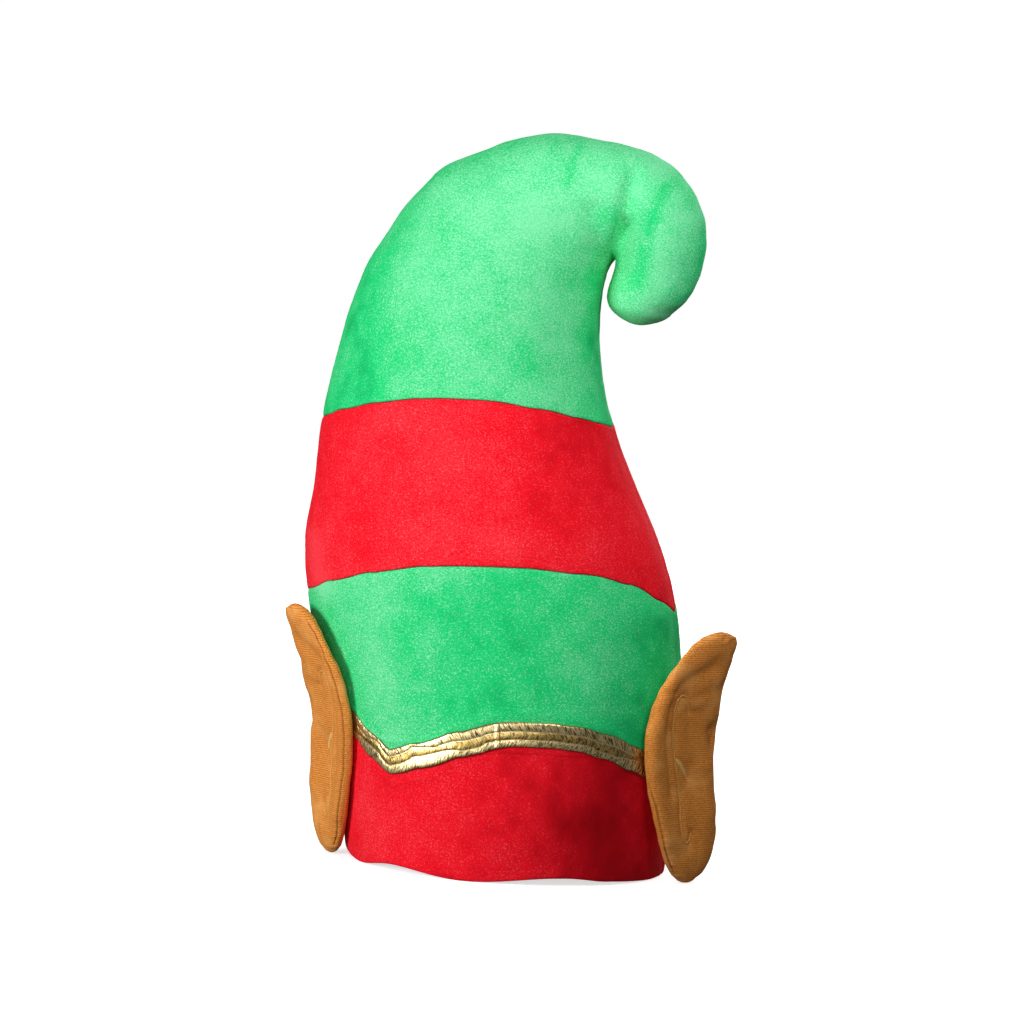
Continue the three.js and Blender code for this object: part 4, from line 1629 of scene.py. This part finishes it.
@dataclass
class SatinStitch:
    """A raised line of satin stitch on an ear's face."""

    name: str
    ear: StuffedEar
    cover: bpy.types.Object
    line: ShareTable
    width: float
    finish: ThreadFinish
    height: float = 0.55 * MM
    root: float = 0.5 * MM
    step: float = 0.25 * MM
    strands: int = 9

    def build(self) -> bpy.types.Object:
        """Lays the stitches along their line on the cover and dresses them.

        Returns:
            The stitches.
        """
        size = np.array([self.ear.width, self.ear.length])
        fine = np.linspace(0, len(self.line.table) - 1, 400)
        drawn = np.stack([self.line.at("across", fine), self.line.at("along", fine)], -1) * size
        walked = np.concatenate([[0], np.cumsum(np.linalg.norm(np.diff(drawn, axis=0), axis=-1))])
        along = np.linspace(0, walked[-1], max(8, int(walked[-1] / self.step)))
        middle = np.stack([np.interp(along, walked, drawn[:, axis]) for axis in (0, 1)], -1)
        heading = np.gradient(middle, axis=0)
        heading /= np.linalg.norm(heading, axis=-1, keepdims=True)
        aside = np.stack([-heading[:, 1], heading[:, 0]], -1)
        full = np.sqrt(np.clip(np.minimum(along, walked[-1] - along) / (3 * MM), 0.05, 1))
        spread = np.linspace(-1, 1, self.strands)
        reach = (spread * self.width / 2)[None, :, None] * full[:, None, None]
        place = middle[:, None] + aside[:, None] * reach
        seated = self.on_cover(place)
        top = seated + self.ear.out * (self.height * full[:, None] * (1 - spread**2))[..., None]
        under = (seated - self.ear.out * self.root)[:, ::-1]
        ring = np.concatenate([top, under], axis=1)
        count = ring.shape[1]
        faces = grid_faces(len(along), count, False).tolist()
        faces.append(list(range(count))[::-1])
        faces.append([(len(along) - 1) * count + k for k in range(count)])
        uv = np.stack(np.broadcast_arrays(along[:, None], np.concatenate([spread, spread[::-1]])), -1)
        piece = make_object(self.name, ring, [face[:: -self.ear.side] for face in faces], uv)
        dress(piece, self.finish)
        declare(piece, None)
        return piece

    def on_cover(self, place: np.ndarray) -> np.ndarray:
        """Points of the cover's outer face at places across and up the ear.

        Args:
            place: Places across and up the ear.

        Returns:
            One point for each place.
        """
        off = self.ear.out * 40 * MM
        flat = self.ear.base + place[..., :1] * self.ear.across + place[..., 1:] * self.ear.up
        down = Vector(-self.ear.out)
        seated = flat.copy()
        for index in np.ndindex(place.shape[:2]):
            hit, point, _, _ = self.cover.ray_cast(Vector(flat[index] + off), down)
            seated[index] = point if hit else flat[index]
        return seated


def points_of(piece: bpy.types.Object) -> np.ndarray:
    """A piece's points.

    Args:
        piece: The mesh object.

    Returns:
        Its points, one row each.
    """
    points = np.empty(3 * len(piece.data.vertices))
    piece.data.vertices.foreach_get("co", points)
    return points.reshape(-1, 3)


def place_points(piece: bpy.types.Object, points: np.ndarray) -> None:
    """Moves a piece's points to new places."""
    piece.data.vertices.foreach_set("co", points.ravel())
    piece.data.update()


def values_of(piece: bpy.types.Object, title: str) -> np.ndarray:
    """The values that a piece keeps at its points under a name.

    Args:
        piece: The mesh object.
        title: The name of the values.

    Returns:
        One value for each point.
    """
    values = np.empty(len(piece.data.vertices), np.float32)
    piece.data.attributes[title].data.foreach_get("value", values)
    return values


def select_alone(piece: bpy.types.Object) -> None:
    """Selects one object and makes it the active one.

    Args:
        piece: The object.
    """
    bpy.ops.object.select_all(action="DESELECT")
    piece.select_set(True)
    bpy.context.view_layer.objects.active = piece


@dataclass
class Studio:
    """A plain pale floor, soft white light and the camera at the photograph's angle."""

    azimuth: float = 10.0
    elevation: float = 8.0
    roll: float = 3.8
    distance: float = 4.0
    pixel: float = 0.58 * MM
    image_width: int = 1024
    rim_column: float = 505.0
    rim_row: float = 860.0
    floor_radius: float = 120.0
    sensor: float = 36.0
    world: float = 0.12
    overhead: float = 0.9
    overhead_angle: float = 40.0
    glow: float = 0.66
    key_place: tuple[float, float, float] = (-0.95, -0.95, 0.3)
    key_size: float = 0.4
    key_watts: float = 12.5
    snoot_place: tuple[float, float, float] = (0.33, -0.42, 0.6)
    snoot_target: tuple[float, float, float] = (0.07, -0.03, 0.31)
    snoot_watts: float = 8
    snoot_cone: float = 50.0
    snoot_softness: float = 0.1
    front_place: tuple[float, float, float] = (0.0, -2.0, 0.9)
    front_size: float = 0.8
    front_watts: float = 9
    rear_place: tuple[float, float, float] = (0.3, 1.8, 0.9)
    rear_size: float = 1.0
    rear_watts: float = 18

    def build(self) -> None:
        """Builds the floor, the light and the camera."""
        self.lay_floor()
        self.light_world()
        self.light_overhead()
        self.hang_lamp("key_softbox", Vector(self.key_place), self.key_size, self.key_watts)
        self.hang_snoot(Vector(self.snoot_place), Vector(self.snoot_target), self.snoot_watts)
        self.hang_lamp("front_softbox", Vector(self.front_place), self.front_size, self.front_watts)
        self.hang_lamp("rear_softbox", Vector(self.rear_place), self.rear_size, self.rear_watts)
        self.set_camera()

    def lay_floor(self) -> None:
        """Lays a round pale floor under the hat, lit a little from below like a light table."""
        bpy.ops.object.select_all(action="DESELECT")
        bpy.ops.mesh.primitive_circle_add(vertices=96, radius=self.floor_radius, fill_type="NGON")
        floor = bpy.context.object
        floor.name = "studio_floor"
        material, tree = blank_material("opal_acrylic_light_table")
        place = add_node(tree, "ShaderNodeTexCoord", {}, {}).outputs["Object"]
        fibres = add_node(
            tree, "ShaderNodeTexNoise", {}, {"Vector": place, "Scale": 1 / (4 * MM), "Detail": 2.0}
        ).outputs["Fac"]
        colour = add_node(
            tree,
            "ShaderNodeMix",
            {"data_type": "RGBA"},
            {0: fibres, 6: linear("#F8F8F7"), 7: linear("#FCFCFB")},
        ).outputs[2]
        table = add_node(
            tree,
            "ShaderNodeBsdfPrincipled",
            {},
            {
                "Base Color": colour,
                "Roughness": 0.9,
                "Emission Color": (1, 1, 1, 1),
                "Emission Strength": self.glow,
            },
        )
        add_node(tree, "ShaderNodeOutputMaterial", {}, {"Surface": table.outputs["BSDF"]})
        floor.data.materials.append(material)
        floor.visible_diffuse = False
        floor.visible_glossy = False

    def light_world(self) -> None:
        """Surrounds the scene with even white light."""
        scene = bpy.context.scene
        scene.world = bpy.data.worlds.new("white_studio")
        scene.world.use_nodes = True
        background = scene.world.node_tree.nodes["Background"]
        background.inputs["Color"].default_value = (1, 1, 1, 1)
        background.inputs["Strength"].default_value = self.world
        scene.view_settings.view_transform = "Standard"

    def light_overhead(self) -> None:
        """Lights the floor and the top of the hat from a wide soft ceiling."""
        lamp = bpy.data.lights.new("overhead_light", "SUN")
        lamp.energy = self.overhead
        lamp.angle = math.radians(self.overhead_angle)
        bpy.context.scene.collection.objects.link(bpy.data.objects.new("overhead_light", lamp))

    def hang_lamp(self, name: str, place: Vector, size: float, power: float) -> None:
        """Hangs a soft lamp that faces the hat.

        Args:
            name: The lamp's name.
            place: Where it hangs.
            size: The side of its square face.
            power: Its power in watts.
        """
        lamp = bpy.data.lights.new(name, "AREA")
        lamp.shape = "SQUARE"
        lamp.size = size
        lamp.energy = power
        hung = bpy.data.objects.new(name, lamp)
        hung.location = place
        target = Vector((0, 0, FORM.hat_height / 2))
        hung.rotation_euler = (target - place).to_track_quat("-Z", "Y").to_euler()
        hung.visible_camera = False
        bpy.context.scene.collection.objects.link(hung)

    def hang_snoot(self, place: Vector, target: Vector, power: float) -> None:
        """Hangs a lamp with a narrow soft cone, which lights the peak alone.

        Args:
            place: Where it hangs.
            target: The point that it faces.
            power: Its power in watts.
        """
        lamp = bpy.data.lights.new("peak_snoot", "SPOT")
        lamp.energy = power
        lamp.spot_size = math.radians(self.snoot_cone)
        lamp.spot_blend = 1
        lamp.shadow_soft_size = self.snoot_softness
        hung = bpy.data.objects.new("peak_snoot", lamp)
        hung.location = place
        hung.rotation_euler = (target - place).to_track_quat("-Z", "Y").to_euler()
        bpy.context.scene.collection.objects.link(hung)

    def set_camera(self) -> None:
        """Sets the camera at the photograph's viewpoint, aimed at the middle of its frame."""
        azimuth, elevation, roll = map(math.radians, (self.azimuth, self.elevation, self.roll))
        right = Vector((math.cos(azimuth), math.sin(azimuth), 0))
        forward = Vector((-math.sin(azimuth), math.cos(azimuth), 0)) * math.cos(elevation)
        forward.z = -math.sin(elevation)
        up = right.cross(forward)
        turned_right = right * math.cos(roll) + up * math.sin(roll)
        turned_up = up * math.cos(roll) - right * math.sin(roll)
        rim = Vector(OFFSET)
        eye = rim - forward * self.distance
        middle = self.image_width / 2
        aim = rim + turned_right * (middle - self.rim_column) * self.pixel
        aim += turned_up * (self.rim_row - middle) * self.pixel
        view = (aim - eye).normalized()
        side = (turned_right - view * turned_right.dot(view)).normalized()
        above = side.cross(view)
        camera = bpy.data.cameras.new("photo_camera")
        camera.sensor_width = self.sensor
        camera.lens = self.sensor * (aim - eye).length / (self.pixel * self.image_width)
        camera.clip_end = 300
        taken = bpy.data.objects.new("photo_camera", camera)
        taken.matrix_world = Matrix.Translation(eye) @ Matrix((side, above, -view)).transposed().to_4x4()
        bpy.context.scene.collection.objects.link(taken)
        bpy.context.scene.camera = taken


# Each velour's colours: deep for painted shade and the deep nap, body, lit for painted highlights and the
# pale nap, and the painted glints' colour.
GREEN = VelourFinish("green_polyester_velour", "#046230", "#10D074", "#7AE6A6", "#B0F4CE")
RED = VelourFinish("red_polyester_velour", "#8A0206", "#F20A20", "#FE3844", "#FF7078")
JERSEY = KnitFinish()
RIBBON = FoilRibbon(FoilRibbonFinish())


def above(seam: Heights, by: float) -> Heights:
    """A seam's height moved up by a distance."""
    return lambda angle: seam(angle) + by


def main() -> None:
    """Builds the studio and then the hat, from its rim up."""
    logging.basicConfig(level=logging.INFO, format="%(name)s: %(message)s")
    gap = FORM.sewn_gap / 2
    Studio().build()
    pieces = [
        ClothBand("brow_band", FORM.hem, above(FORM.ribbon_line, -gap), RED, Slot.RED_VELOUR, 0.03, "top"),
        ClothBand(
            "green_band",
            above(FORM.ribbon_line, gap),
            above(FORM.lower_seam, -gap),
            GREEN,
            Slot.GREEN_VELOUR,
            0.15,
            "bottom",
        ),
        ClothBand(
            "red_band",
            above(FORM.lower_seam, gap),
            above(FORM.upper_seam, -gap),
            RED,
            Slot.RED_VELOUR,
            0.14,
        ),
        CurledPeak(GREEN, 0.58),
        RIBBON,
        StuffedEar("ear_left", 1, 59, 3, 0, -0.92, -1.08, JERSEY),
        StuffedEar("ear_right", -1, 47, -10, 9, -0.88, -0.88, JERSEY),
    ]
    for piece in pieces:
        piece.build()


if __name__ == "__main__":
    main()
